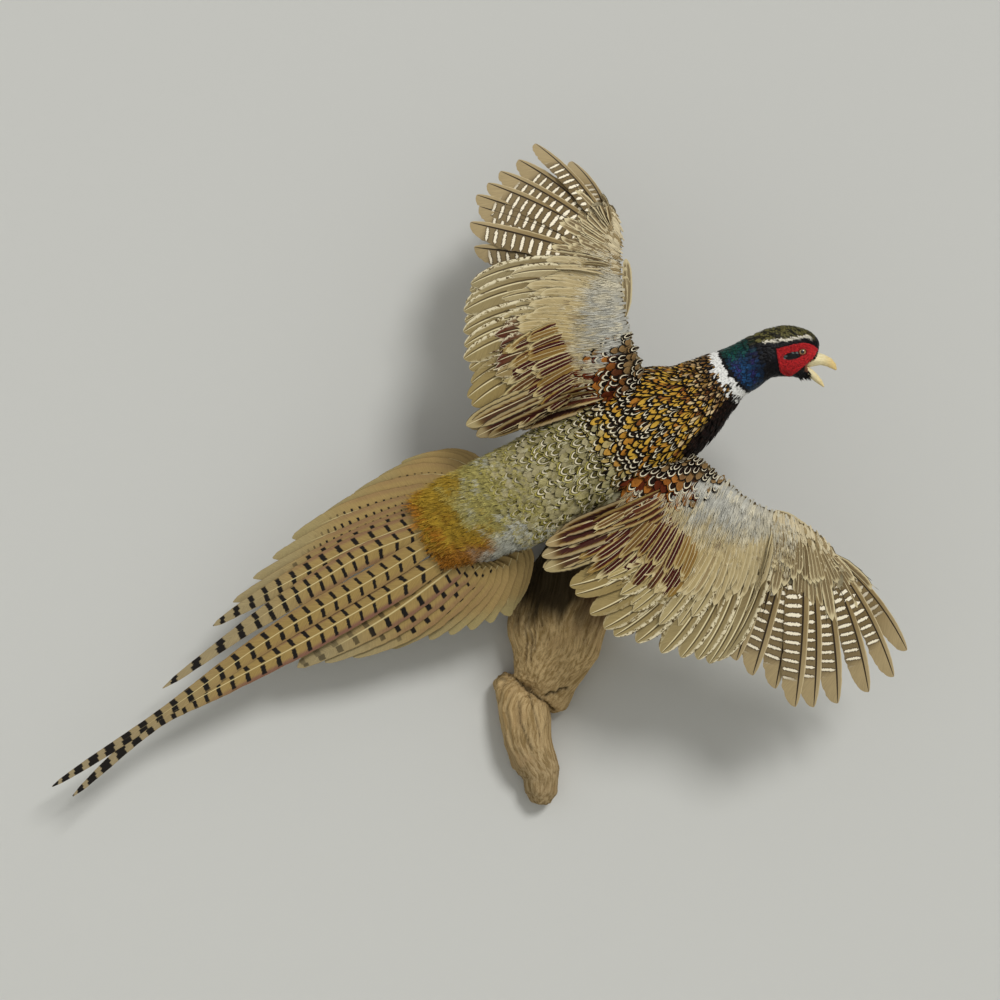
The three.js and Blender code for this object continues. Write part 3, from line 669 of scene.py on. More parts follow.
def vaneShape(columns, rows, sweep=0.06, camber=0.16, quill=0.0, fray=0, profile=None, **form):
    def breadth(v):
        return float(np.interp(v, *np.array(profile).T) if profile else outline(np.array(v), **form))
    bm = bmesh.new()
    bmesh.ops.create_grid(bm, x_segments=columns, y_segments=rows, size=1)
    told = []
    for vert in bm.verts:
        c, v = vert.co.x, 1 - (1 - (vert.co.y + 1) / 2) ** 1.3
        w = breadth(v)
        told.append((c, v, min(1, v + sweep * abs(c) * w * (1 - v) * 2), c * w, -camber * c * c * w))
    if quill:
        start = len(bm.verts)
        bmesh.ops.create_grid(bm, x_segments=2, y_segments=max(6, rows // 2), size=1)
        bm.verts.ensure_lookup_table()
        for vert in bm.verts[start:]:
            c, v = vert.co.x, (vert.co.y + 1) / 2 * 0.97
            thin = quill * (1 - 0.85 * v)
            told.append((0, v, v, c * thin, thin * (1.1 if abs(c) < 0.5 else -0.3)))
    for k in range(fray):
        start = len(bm.verts)
        bmesh.ops.create_grid(bm, x_segments=1, y_segments=2, size=1)
        bm.verts.ensure_lookup_table()
        p = 0.3 + 0.66 * (k + 0.5) / fray
        way = 1 if k % 2 else -1
        w = breadth(min(p, 0.96))
        for vert in bm.verts[start:]:
            t, c = (vert.co.y + 1) / 2, vert.co.x
            out = way * (w * 0.8 + 0.3 * t) + c * 0.09 * (1 - t) ** 0.7
            told.append((way * (0.8 + 0.2 * t), min(1, p + 0.1 * t), min(1.12, p + 0.2 * t), out,
                         -camber * w))
    return gathered(bm, told)


def tuftShape(strands, spread=1.0, width=0.1, seed=0, rows=3, lift=0.25):
    # barbs that part like hair
    own = np.random.default_rng(seed)
    bm, told = bmesh.new(), []
    for k in range(strands):
        start = len(bm.verts)
        bmesh.ops.create_grid(bm, x_segments=1, y_segments=rows, size=1)
        bm.verts.ensure_lookup_table()
        s = (2 * (k + 0.5) / strands - 1) if strands > 1 else 0
        length, wander, height = own.uniform(0.72, 1.0), own.uniform(-0.18, 0.18), own.uniform(-0.2, 1) * lift
        for vert in bm.verts[start:]:
            t, c = (vert.co.y + 1) / 2, vert.co.x
            middle = s * (0.3 + 0.7 * t ** 0.8) * spread + wander * t
            told.append((s, t * length, t * length, middle + c * width * (1 - t) ** 0.55, height * t * t))
    return gathered(bm, told)


shapes = {
    "contour": vaneShape(4, 6, fray=6, camber=0.22, shoulder=0.55),
    "lance": vaneShape(4, 5, fray=2, camber=0.25, widest=0.4, shoulder=0.35),
    "small": vaneShape(3, 4, fray=2, camber=0.2, shoulder=0.5),
    "tiny": vaneShape(2, 3, camber=0.25, shoulder=0.45),
    "covert": vaneShape(4, 9, fray=6, camber=0.2, quill=0.06, shoulder=0.7),
    "flight": vaneShape(12, 40, sweep=0.02, camber=0.08, quill=0.075, shoulder=0.72, widest=0.3),
    "primary": vaneShape(12, 44, sweep=0.02, camber=0.08, quill=0.075, shoulder=0.72, widest=0.3),
    "longTail": vaneShape(12, 70, sweep=0.006, camber=0.06, quill=0.03, profile=(
        (0, 0.4), (0.15, 0.95), (0.4, 1), (0.58, 0.8), (0.74, 0.5), (0.9, 0.36), (0.97, 0.2), (1, 0.05))),
    "tailVane": vaneShape(12, 50, sweep=0.008, camber=0.06, quill=0.03, profile=(
        (0, 0.4), (0.15, 0.9), (0.4, 1), (0.6, 0.93), (0.76, 0.7), (0.88, 0.46), (0.96, 0.26), (1, 0.04))),
    "tuft": tuftShape(8, 0.9, 0.085, 3),
    "wisp": tuftShape(6, 0.8, 0.13, 5, lift=0.1),
    "spike": tuftShape(3, 0.5, 0.3, 8, lift=0.6),
}


rootPlaces, rootTones = [], []  # where feathers grow and their colour there, for the skin below
# how large each feather lies on its OFBake map
patches = {"tuft": 0.003, "body": 0.012, "shoulder": 0.02, "edge": 0.01, "cover": 0.05, "tail": 0.06,
           "secondary": 0.075, "primary": 0.09, "tertial": 0.14, "alula": 0.2}


def layFeathers(name, shape, path, normal, half, bake, patch, finish, slotName, roll=0.0,
                tone=None, tint=None, mark=None, jitter=0.06, replaces=(), mirror=1.0):
    # one joined mesh of feathers: path and normal run along each, half holds both webs' widths,
    # bake is the place of each on the OFBake map and patch its size there
    form = shapes[shape]
    count, steps = path.shape[:2]
    along = unit(np.gradient(path, axis=1))
    normal = unit(normal - along * (normal * along).sum(-1, keepdims=True))
    across = np.cross(along, normal) * mirror
    place = np.clip(form["path"], 0, 1) * (steps - 1)
    i = np.minimum(place.astype(int), steps - 2)
    f = (place - i)[None, :, None]
    past = np.clip(form["path"] - 1, 0, None)[None, :, None]
    here = path[:, i] * (1 - f) + path[:, i + 1] * f + past * (path[:, i + 1] - path[:, i]) * (steps - 1)
    side = across[:, i] * (1 - f) + across[:, i + 1] * f
    face = normal[:, i] * (1 - f) + normal[:, i + 1] * f
    turn = (np.zeros(count) + roll)[:, None, None]
    side, face = side * np.cos(turn) + face * np.sin(turn), face * np.cos(turn) - side * np.sin(turn)
    web = np.where(form["out"] < 0, half[:, :1], half[:, 1:])
    loose = chance.normal(0, jitter, (count, len(form["out"]))) * (np.abs(form["column"]) > 0.55)
    out = (form["out"] * (1 + loose) * web)[..., None]
    places = here + side * out + face * (form["height"] * half.mean(1)[:, None])[..., None]
    faces = form["faces"] if mirror > 0 else form["faces"][:, ::-1]
    faces = faces[None] + (np.arange(count) * len(form["out"]))[:, None, None]
    mesh = bpy.data.meshes.new(name)
    fillMesh(mesh, places.reshape(-1, 3), faces.reshape(-1, 3))
    each = faces.reshape(-1)
    vane = np.stack([(form["column"] + 1) / 2, form["along"]], -1)
    vane = np.broadcast_to(vane, (count, *vane.shape)).reshape(-1, 2)
    setMap(mesh, "Vane", vane[each])
    spread = np.stack([form["column"] / 2, form["along"] - 0.5], -1) * patch
    spots = (np.clip(bake, 0.02, 0.98)[:, None] + spread[None]).reshape(-1, 2)
    setMap(mesh, "OFBake", spots[each])
    if not replaces:
        rootPlaces.append(path[:, 1])
        rootTones.append(np.zeros((count, 3)) + (np.asarray(tone) + np.asarray(tint)) / 2)
    size = len(form["out"])
    for key, values in (("tone", tone), ("tint", tint)):
        setTone(mesh, key, np.repeat(np.zeros((count, 3)) + values, size, 0))
    setLayer(mesh, "marks", "FLOAT_VECTOR", np.repeat(np.zeros((count, 3)) + mark, size, 0))
    setLayer(mesh, "marks2", "FLOAT", np.repeat(chance.random(count), size))
    mesh.materials.append(finishes[finish])
    keepPiece(addPiece(name, mesh), slotName, *replaces)
    print(f"  {name}: {count} feathers, {len(mesh.polygons)} triangles")


def overSurface(surface, a, b, lieA, lieB, length, sink, lift, steps=6):
    # paths that start sunk under the surface, follow it, and end a little proud of it
    e = 0.02
    lieA, lieB, length, sink, lift = (np.zeros(len(a)) + v for v in (lieA, lieB, length, sink, lift))
    here, ahead = surface(a, b, 0 * a)[0], surface(a + e * lieA, b + e * lieB, 0 * a)[0]
    rate = length * e / np.maximum(np.linalg.norm(ahead - here, axis=-1), 1e-7)
    v = np.linspace(0, 1, steps)
    atA = a[:, None] + (lieA * rate)[:, None] * v
    atB = b[:, None] + (lieB * rate)[:, None] * v
    grow = -sink[:, None] + (sink + lift)[:, None] * np.sin(v * math.pi / 2)
    path, out = surface(atA, atB, grow)
    slope = np.cross(surface(atA + e, atB, grow)[0] - surface(atA - e, atB, grow)[0],
                     surface(atA, atB + e, grow)[0] - surface(atA, atB - e, grow)[0])
    normal = unit(slope) * np.sign((slope * out).sum(-1, keepdims=True))
    return path, normal


def scatter(surface, rangeA, rangeB, gapA, gapB, loose=0.25):
    # staggered rows over part of a surface, with gaps measured on it
    found, steps = [], []
    a, row, e = rangeA[0], 0, 0.02
    while a < rangeA[1]:
        b = np.linspace(*rangeB, 60)
        line = surface(b * 0 + a, b, b * 0)[0]
        far = np.concatenate([[0], np.cumsum(np.linalg.norm(np.diff(line, axis=0), axis=1))])
        count = max(1, round(far[-1] / gapB))
        wanted = (np.arange(count) + (0.5 if row % 2 else 0.0)) / count * far[-1]
        found.append(np.stack([np.full(count, a), np.interp(wanted, far, b)], -1))
        middle = np.array([a]), np.array([sum(rangeB) / 2]), np.array([0.0])
        pace = np.linalg.norm(surface(middle[0] + e, *middle[1:])[0] - surface(*middle)[0]) / e
        step = gapA / max(pace, 1e-6)
        steps.append(np.stack([np.full(count, step), np.full(count, (rangeB[1] - rangeB[0]) / count)], -1))
        a, row = a + step, row + 1
    spots = np.concatenate(found)
    spots += chance.uniform(-loose, loose, spots.shape) * np.concatenate(steps)
    return spots[:, 0], spots[:, 1]


# coat of the body
gold, orange, olive = tones("c79d3c", "ad7228", "aa9f50")
purple, copper, soot = tones("1b0f0e", "3d2616", "0e0b09")
grayBlue, paleOlive, rust = tones("c9c9bb", "b8ac62", "a66c1a")
bodyCoat = {
    "range": (2.5, 9.5),
    "bands": ((2.7, 4.9, 8.0, 7.0), (4.9, 6.0, 7.0, 5.2), (6.0, 8.0, 7.4, 3.6), (8.0, 9.4, 5.4, 2.7)),
    "lengths": ((2.5, 19), (4.5, 17), (5.5, 15), (6.5, 15), (8, 12), (9.4, 9)),
    "halves": ((2.5, 5.4), (4.5, 4.9), (5.5, 4.0), (6.2, 2.7), (8, 2.2), (9.4, 1.6)),
    "depth": 2.6,
}


def table(rows, at):
    return np.interp(at, *np.array(rows, float).T)


def wrapped(turn):
    # degrees: 0 is up, 90 faces the viewer, 180 is down and -90 faces the wall
    return (np.degrees(turn) + 180) % 360 - 180


def bodyLook(at, turn):
    angle, dice = wrapped(turn), chance.random((5, len(at)))
    backEnd = table(((4.5, 190), (5.5, 185), (6.2, 152), (7, 130), (9, 118)), at) + 8 * (dice[4] - 0.5)
    back = smooth(angle, -62, -46) * (1 - smooth(angle, backEnd - 4, backEnd + 4))
    golden = smooth(at + 0.6 * (dice[0] - 0.5), 4.7, 5.3)
    warm = mixed(gold, orange, smooth(dice[1], 0.5, 1.0) + 0.35 * smooth(at, 8, 9) * (dice[2] > 0.5))
    warm = mixed(warm, hue("d9c193"), (dice[3] < table(((5, 0.05), (6.5, 0.07), (9, 0.25)), at)) * 0.9)
    warm = mixed(warm, hue("6e3a1c"), (dice[3] > table(((5, 0.98), (6.5, 0.92), (9, 0.75)), at)) * 0.9)
    green = mixed(olive, hue("a39976"), dice[2]) * (0.85 + 0.35 * dice[3][:, None])
    tone = mixed(green, warm, golden)
    hearts = mixed(hue("746b38"), hue("24170e"), smooth(at + 0.6 * dice[1], 4.3, 5.4))
    ringed = table(((2.7, 0.5), (3.4, 0.85), (6.0, 0.95), (7, 0.8)), at)
    ringed = ringed * (dice[2] < table(((2.7, 0.3), (3.4, 0.62), (4.8, 0.7), (5.4, 0.55), (6.2, 0.35),
                                        (7, 0.08), (9, 0)), at))
    warm = smooth(at + 0.5 * dice[0], 8.0, 9.0)
    tone = mixed(tone, mixed(hue("5d3a20"), hue("c9ae80"), smooth(dice[1], 0.5, 0.75)), 0.75 * warm)
    tint = mixed(tone * 0.9, hearts, np.maximum(ringed > 0, (dice[3] > 0.62) * golden))
    fringe = table(((2.5, -0.3), (4.4, -0.1), (5.2, 0.1), (6.5, 0.22), (8, 0.25), (9, 0.3)), at)
    under = mixed(copper, purple, smooth(at, 4.5, 6.6) * (0.7 + 0.3 * dice[0]))
    under = mixed(under, soot, smooth(-angle, 40, 100) * smooth(5.5 - at, -0.5, 1.0))
    tone, tint = mixed(under, tone, back), mixed(soot, tint, back)
    width = mixed(np.full((len(at), 1), 0.2), fringe[:, None], back)[:, 0]
    heart = np.where((ringed == 0) & (at > 5), 0.34, 0.58)
    return tone, tint, np.stack([heart + 0.1 * dice[0], ringed * back, width], -1)


def bodyBake(at, turn, rangeA):
    return np.stack([(turn / (2 * math.pi)) % 1 * 0.94 + 0.03,
                     (at - rangeA[0]) / (rangeA[1] - rangeA[0]) * 0.94 + 0.03], -1)


def coatBody():
    for name, shape, bands in (("back_feathers", "contour", bodyCoat["bands"][:2]),
                               ("mantle_feathers", "lance", bodyCoat["bands"][2:])):
        found = [scatter(bodySurface, (low, high), (0, 2 * math.pi), gapA * mm, gapB * mm, 0.16)
                 for low, high, gapA, gapB in bands]
        at, turn = (np.concatenate(rows) for rows in zip(*found))
        length = table(bodyCoat["lengths"], at) * mm * chance.uniform(0.88, 1.12, len(at))
        half = table(bodyCoat["halves"], at) * mm * chance.uniform(0.88, 1.12, len(at))
        path, normal = overSurface(bodySurface, at, turn, -1.0, chance.normal(0, 0.08, len(at)), length,
                                   bodyCoat["depth"] * mm, chance.uniform(0.2, 1.5, len(at)) * mm)
        tone, tint, mark = bodyLook(at, turn)
        if shape == "contour":
            loose, spread = scatter(bodySurface, (2.6, 4.6), (-0.8, 3.4), 8.5 * mm, 8.5 * mm, 0.5)
            over, out = overSurface(bodySurface, loose, spread, -1.0, chance.normal(0, 0.2, len(loose)),
                                    10 * mm, 1 * mm, chance.uniform(1.6, 2.6, len(loose)) * mm)
            pale = mixed(hue("8f8550"), hue("c9c19a"), smooth(chance.random(len(loose)), 0.3, 0.7))
            layFeathers("back_down", "wisp", over, out, np.full((len(loose), 2), 2.8 * mm),
                        bodyBake(loose, spread, bodyCoat["range"]), patches["tuft"], "hair",
                        "mantle_feathers", chance.normal(0, 0.2, len(loose)), pale, pale * 0.7, (0, 0, 0))
        layFeathers(name, shape, path, normal, np.stack([half] * 2, -1),
                    bodyBake(at, turn, bodyCoat["range"]), patches["body"], "mantle", "mantle_feathers",
                    chance.normal(0, 0.14, len(at)), tone, tint, mark)


rumpCoat = {
    "range": (0.02, 3.3), "gap": 4.0, "depth": 3.0,
    "lengths": ((0, 26), (0.6, 28), (1.4, 30), (2.2, 25), (3.3, 17)),
    "halves": ((0, 5.0), (2, 4.8), (3.3, 4.2)),
}


def coatRump():
    # loose, hair-like feathers from the lower back to over the roots of the tail
    gap = rumpCoat["gap"] * mm
    at, turn = scatter(bodySurface, rumpCoat["range"], (0, 2 * math.pi), gap, gap, 0.4)
    angle, dice = wrapped(turn), chance.random((4, len(at)))
    back = smooth(angle, -60, -40) * (1 - smooth(angle, 174, 179))
    patch = np.sin(at * 4.1 + 0.6) * np.cos(turn * 3.3 + at) + 0.6 * np.sin(at * 9 - turn * 5)
    low = smooth(angle + 14 * patch, 112, 150) * smooth(at + 0.3 * dice[3], 1.4, 2.2)
    wisps = smooth(0.6 * patch + 1.5 * dice[2], 1.2, 1.6) * smooth(at, 1.5, 2.1)
    tail = mixed(hue("b97a1c"), hue("b08e2a"), smooth(at + 0.8 * dice[0] + 0.45 * patch, 0.4, 1.3))
    tail = mixed(tail, rust, smooth(angle + 20 * dice[3], 118, 150))
    tone = mixed(tail, paleOlive, smooth(at + 0.5 * dice[1] + 0.25 * patch - 0.3 * (angle > 100), 1.6, 2.3))
    tone = mixed(tone, grayBlue, np.clip(low + 0.8 * wisps, 0, 1))
    tone = mixed(hue("2e2219"), tone, back) * (0.82 + 0.36 * dice[0][:, None])
    tint = mixed(tone * 0.5, hue("827c58"), smooth(at, 1.5, 2.5) * 0.5 * back)
    keep = (at < 2.8) | (dice[1] < 0.6)
    rim = 1 - 0.5 * (1 - smooth(angle, -10, 25) * (1 - smooth(angle, 104, 135)))
    length = table(rumpCoat["lengths"], at) * mm * chance.uniform(0.75, 1.15, len(at))
    length = length * np.where(at < 1.2, rim, 1)
    half = table(rumpCoat["halves"], at) * mm
    path, normal = overSurface(bodySurface, at, turn, -1.0, chance.normal(0, 0.16, len(at)), length * 0.55,
                               rumpCoat["depth"] * mm, chance.uniform(0.3, 2.2, len(at)) * mm)
    # past the root of the tail the feathers run on straight over it
    steps = path.shape[1]
    end, ahead = path[:, 2], unit(path[:, 2] - path[:, 0])
    keep &= (at > 1.2) | ((ahead * unit(spot([(-90, 26, -45)])[0])).sum(-1) > 0.62)
    drift = unit(ahead + 0.35 * unit(spot([(-430, 56, -260)])[0]))
    more = np.linspace(0, 1, steps - 2)[None, :, None] * (length * 0.5)[:, None, None] * drift[:, None]
    path = np.where((at < 1.0)[:, None, None], np.concatenate([path[:, :2], end[:, None] + more], 1), path)
    for name, slotName, chosen in (("tail_covert_tufts", "tail_covert_feathers", at < 1.5),
                                   ("rump_tufts", "rump_feathers", at >= 1.5)):
        pick = keep & chosen
        layFeathers(name, "tuft", path[pick], normal[pick], np.stack([half[pick]] * 2, -1),
                    bodyBake(at[pick], turn[pick], rumpCoat["range"]), patches["tuft"], "hair", slotName,
                    chance.normal(0, 0.15, pick.sum()), tone[pick], tint[pick], (0, 0, 0))


coatBody()
coatRump()
bodyRoots = sum(len(rows) for rows in rootPlaces)
print("the body has its coat")


# coat of neck and head
# marks of the head, across and up in millimetres
browLine = ((197, 311), (204, 312), (212, 313.2), (222, 314), (232, 314.4), (242, 315.8),
            (249, 317.6), (254, 317), (259, 313.5), (262, 308))
wattleCorners = ((219.9, 305.9), (238.4, 310.4), (247.5, 312), (256.5, 310), (261.5, 306.2),
                 (262.6, 302), (259.2, 298.2), (255.7, 295.4), (252.3, 290), (248.3, 284.4),
                 (244, 279.4), (238.5, 277.6), (231.7, 279), (224.9, 283.6), (222.7, 290.8), (221.6, 297.5))
headMarks = {"patch": (236.2, 299.0), "patchSize": (9.4, 3.9), "patchSlope": 0.17,
             "eye": (245.9, 302.9), "eyeOpening": 4.4, "middle": 200}


def inWattle(x, z):
    # how far inside the bare red face a place lies, in millimetres
    inside = np.full(np.shape(x), 1e9)
    for (ax, az), (bx, bz) in zip(wattleCorners, wattleCorners[1:] + wattleCorners[:1]):
        dx, dz = bx - ax, bz - az
        inside = np.minimum(inside, ((x - ax) * dz - (z - az) * dx) / math.hypot(dx, dz))
    return inside


def inPatch(x, z):
    dx, dz = x - headMarks["patch"][0], z - headMarks["patch"][1]
    dz = dz - headMarks["patchSlope"] * dx
    return 1 - np.hypot(dx / headMarks["patchSize"][0], dz / headMarks["patchSize"][1])


def fromEye(x, z):
    return np.hypot(x - headMarks["eye"][0], z - headMarks["eye"][1])


def headLook(at, turn, place):
    x, z, c = place[:, 0] / mm, place[:, 2] / mm, np.cos(turn)
    dice = chance.random((3, len(at)))
    teal, blue, violet, night = tones("0f4f45", "1a4a78", "31306e", "0d0c12")
    neck = mixed(blue, violet, smooth(dice[0] + 0.5 * np.sin(at * 7 + turn * 4), 0.5, 1.1))
    neck = mixed(neck, teal, smooth(c + 0.4 * dice[1], 0.35, 0.9))
    neck = mixed(neck, hue("12324e"), smooth(-c, 0.5, 0.9))
    neck = mixed(neck, night, np.maximum(smooth(at + 0.4 * dice[2], 10.7, 11.6), smooth(10.15 - at, 0, 0.25)))
    neck = neck * (0.4 + 0.75 * dice[1][:, None])
    lifted = z - np.interp(x, *np.array(browLine).T)
    crown = mixed(hue("6c6636"), hue("25220f"), smooth(dice[0], 0.45, 0.7))
    tone = mixed(neck, crown, smooth(lifted, -0.5, 1.5) * smooth(x + 10 * dice[1], 196, 214))
    white = smooth(1.9 - np.abs(lifted - 0.2), 0, 0.6) * smooth(x, 201, 206) * (1 - smooth(x, 256, 259))
    tone = mixed(tone, hue("e0d9c6"), white * (dice[2] < 0.93))
    line = smooth(1.6 - np.abs(lifted + 2.9), 0, 0.5) * smooth(x, 200, 210)
    tone = mixed(tone, night, np.maximum(line, smooth(x, 259.5, 261)))
    ring = 9.5 + 0.1 * c
    wide = 0.31 - 0.08 * c
    collar = smooth(wide - np.abs(at - ring), -0.02, 0.04)
    broken = smooth(9 - np.abs(np.abs(wrapped(turn)) - 100 + 30 * (at - 9.5)), 0, 3) * (dice[0] < 0.7)
    tone = mixed(tone, hue("f2f1ec"), collar)
    tone = mixed(tone, soot, broken * collar * smooth(at, 9.2, 9.4))
    behind = smooth(ring - wide - at, -0.02, 0.04)
    throat = smooth(np.abs(wrapped(turn) - 20), 95, 110)
    under = mixed(mixed(hue("8a6230"), soot, smooth(dice[1], 0.3, 0.6)), soot, throat)
    return mixed(tone, under, behind)


def coatHead():
    for name, rangeA, gap, lengths, halves, shape, slotName in (
            ("neck_plumage", (9.05, 11.9), 2.3, (8.5, 5.4), (2.0, 1.4), "small", "neck_feathers"),
            ("head_plumage", (11.85, 15.9), 1.5, (4.4, 2.8), (0.95, 0.7), "tiny", "head_skin")):
        at, turn = scatter(bodySurface, rangeA, (0, 2 * math.pi), gap * mm, gap * mm)
        root = bodySurface(at, turn, at * 0)[0]
        x, z, off = root[:, 0] / mm, root[:, 2] / mm, -root[:, 1] / mm
        sides = np.abs(off - headMarks["middle"]) > 5
        bare = (inWattle(x, z) > 0.3) & (inPatch(x, z) < 0) & sides
        eye = (fromEye(x, z) < headMarks["eyeOpening"] + 0.6) & sides
        mouth = (x > 246) & (z < 295) & (z > 276)
        keep = ~(bare | eye | mouth)
        at, turn, root, sides = at[keep], turn[keep], root[keep], sides[keep]
        share = (at - rangeA[0]) / (rangeA[1] - rangeA[0])
        length = (lengths[0] + (lengths[1] - lengths[0]) * share) * mm * chance.uniform(0.85, 1.15, len(at))
        half = (halves[0] + (halves[1] - halves[0]) * share) * mm
        patch = inPatch(root[:, 0] / mm, root[:, 2] / mm) > -0.1
        length = np.where(patch & sides, 2.2 * mm, length)
        path, normal = overSurface(bodySurface, at, turn, -1.0, chance.normal(0, 0.1, len(at)), length,
                                   0.8 * mm, chance.uniform(0.2, 0.8, len(at)) * mm, 4)
        tone = headLook(at, turn, root)
        # painted highlights: about one in eight feathers of the black patch under the eye is grey, for the
        # gleam on its glossy black
        gray = chance.random(len(at)) < 0.12
        tone = mixed(tone, np.where(gray[:, None], tones("6f7a78"), soot * 0.6), (patch & sides) * 1.0)
        layFeathers(name, shape, path, normal, np.stack([half] * 2, -1), bodyBake(at, turn, rangeA),
                    patches["tuft"], "neck", slotName, chance.normal(0, 0.14, len(at)), tone, tone * 0.75,
                    np.stack([at * 0 + 0.5, at * 0, 0.02 - 0.4 * smooth(tone.min(1), 0.1, 0.4)], -1))


coatHead()
print("neck and head have their feathers")


# flight feathers
flesh = ["tail_base", "rump", "trunk", "neck", "head"] + [
    f"wing_{part}_{side}" for part in ("arm", "hand") for side in wings]


def fleshFront():
    # the flesh as one tree of faces, to find how far off the wall it stands
    bm = bmesh.new()
    for node in flesh:
        bm.from_mesh(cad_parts[node].data)
    found = bvhtree.BVHTree.FromBMesh(bm)
    bm.free()
    return found


front = fleshFront()


def draped(path, clearance):
    # lifts paths towards the viewer until they clear the flesh
    lift = np.zeros(path.shape[:2])
    for row, i in np.ndindex(*lift.shape):
        x, y, z = path[row, i]
        hit = front.ray_cast(Vector((x, -0.4, z)), Vector((0, 1, 0)))[0]
        if hit is not None:
            lift[row, i] = max(0.0, y - hit.y + clearance[i] * mm)
    for _ in range(3):
        wide = np.pad(lift, ((0, 0), (1, 1)), "edge")
        lift = np.maximum(lift, (wide[:, :-2] + wide[:, 2:]) / 2)
    return path + np.stack([lift * 0, -lift, lift * 0], -1)


def curvedPaths(start, end, bow, sweep, steps, reach=1.0):
    # shafts that bow to the viewer and bend aside, both as shares of their length
    run = end - start
    size = np.linalg.norm(run, axis=-1, keepdims=True)
    aside = unit(np.cross(run, (0, 1, 0)))
    middle = (start + end) / 2 + (0, -2, 0) * (np.asarray(bow)[..., None] * size)
    middle = middle + 2 * np.asarray(sweep)[..., None] * size * aside
    t = np.linspace(0, reach, steps)[None, :, None]
    return start[:, None] * (1 - t) ** 2 + middle[:, None] * 2 * t * (1 - t) + end[:, None] * t ** 2


def fanPaths(roots, tips, count, bow, sweep, steps=16, loose=1.2, reach=1.0):
    u = (np.arange(count) + 0.5) / count
    start, end = spot(between(roots, u * (len(roots) - 1))), spot(between(tips, u * len(tips) - 0.5))
    onward = spot(between(tips, u * len(tips))) - spot(between(tips, u * len(tips) - 1))
    end = end + chance.normal(0, loose * mm, end.shape)
    path = curvedPaths(start, end, np.zeros(count) + bow, np.zeros(count) + sweep, steps, reach)
    normal = unit(np.cross(end - start, onward))
    normal = np.where(normal[:, 1:2] > 0, -normal, normal)
    side = (np.cross(end - start, normal) * onward).sum(-1).sum()
    return path, np.repeat(normal[:, None], steps, 1), u, 1.0 if side > 0 else -1.0


flights = {"primaryWebs": (19, 5.6), "secondaryWebs": (16, 9.5), "tertialWebs": (11, 11),
           "roll": 0.1, "barGap": 9.8}


def fanBake(count, low=0.1, high=0.9):
    return np.stack([np.linspace(low, high, count), np.full(count, 0.5)], -1)


def lengthOf(path):
    return np.linalg.norm(np.diff(path, axis=1), axis=-1).sum(1) / mm


def wingFlights(side, wing):
    sweep = wing["sweep"]
    path, normal, u, mirror = fanPaths(wing["primaryRoots"], wing["primaryTips"], 10, 0.05,
                                       0.05 * sweep * (np.arange(10) + 0.5) / 10)
    narrow = 1 - 0.25 * smooth(u, 0.6, 1.0)
    webs = np.array(flights["primaryWebs"]) * mm * narrow[:, None]
    size = lengthOf(path)
    plain = np.interp(u, (0, 0.3, 0.8, 1), (9, 15, 30, 58) if side == "left" else (12, 22, 34, 60)) / size
    shift = np.stack([size / flights["barGap"], plain, 1 - 0.7 * smooth(u, 0.88, 1)], -1)
    layFeathers(f"primaries_{side}_feathers", "primary", path, normal, webs, fanBake(10),
                patches["primary"], "primary", "flight_feathers", flights["roll"], (0.2, 0.15, 0.1),
                (0.3, 0.2, 0.1), shift, 0.03, replaces=(f"primaries_{side}",), mirror=mirror)
    path, normal, u, mirror = fanPaths(wing["secondaryRoots"], wing["secondaryTips"], 12, 0.05,
                                       wing["bend"] * sweep)
    webs = np.array(flights["secondaryWebs"]) * mm + u[:, None] * 0
    tone = mixed(hue("a08b57"), hue("a3946c"), u)
    tint = mixed(hue("7e6736"), hue("7e6d4a"), u)
    layFeathers(f"secondaries_{side}_feathers", "flight", path, normal, webs, fanBake(12),
                patches["secondary"], "secondary", "flight_feathers", flights["roll"], tone, tint,
                np.stack([u * 40, smooth(u, 0.15, 0.4), u * 0], -1), 0.03,
                replaces=(f"secondaries_{side}",), mirror=mirror)
    path, normal, u, mirror = fanPaths(wing["tertialRoots"], wing["tertialTips"], 6, 0.06, 0.0)
    path = path + normal * (np.linspace(2.2, 0.2, 6) * mm)[:, None, None]
    webs = np.array(flights["tertialWebs"]) * mm + u[:, None] * 0
    layFeathers(f"tertials_{side}_feathers", "flight", path, normal, webs, fanBake(6),
                patches["tertial"], "covert", "tertial_feathers", flights["roll"] + 0.06,
                tones("876730", "7c5727", "8c6c32", "7d612e", "8e733c", "968048"),
                tones("35160e", "421510", "3c1810", "452017", "462718", "523520"), (1.0, 0.35, 0.9), 0.03,
                replaces=(f"tertials_{side}",), mirror=mirror)
    root, tip = (spot([place]) for place in wing["alula"])
    start = root + (tip - root) * np.array([[0.0], [0.12], [0.25]])
    layers = np.array([[0], [1], [2]]) * (0, -0.7 * mm, 0)
    end = root + (tip - root) * np.array([[1.0], [0.86], [0.7]]) + layers
    path = curvedPaths(start, end, np.full(3, 0.02), np.full(3, 0.04 * sweep), 10)
    normal = np.zeros_like(path) + (0, -1, 0)
    layFeathers(f"alula_{side}_feathers", "flight", path, normal, np.full((3, 2), 4.6 * mm), fanBake(3),
                patches["alula"], "covert", "flight_feathers", 0.15 * sweep, hue("8f7f5a"), hue("6b5a3c"),
                (0.5, 0.6, 0.0), 0.03, replaces=(f"alula_{side}",))


tailCare = {"under": 9, "barGap": 17.0, "fineGap": 8.0}


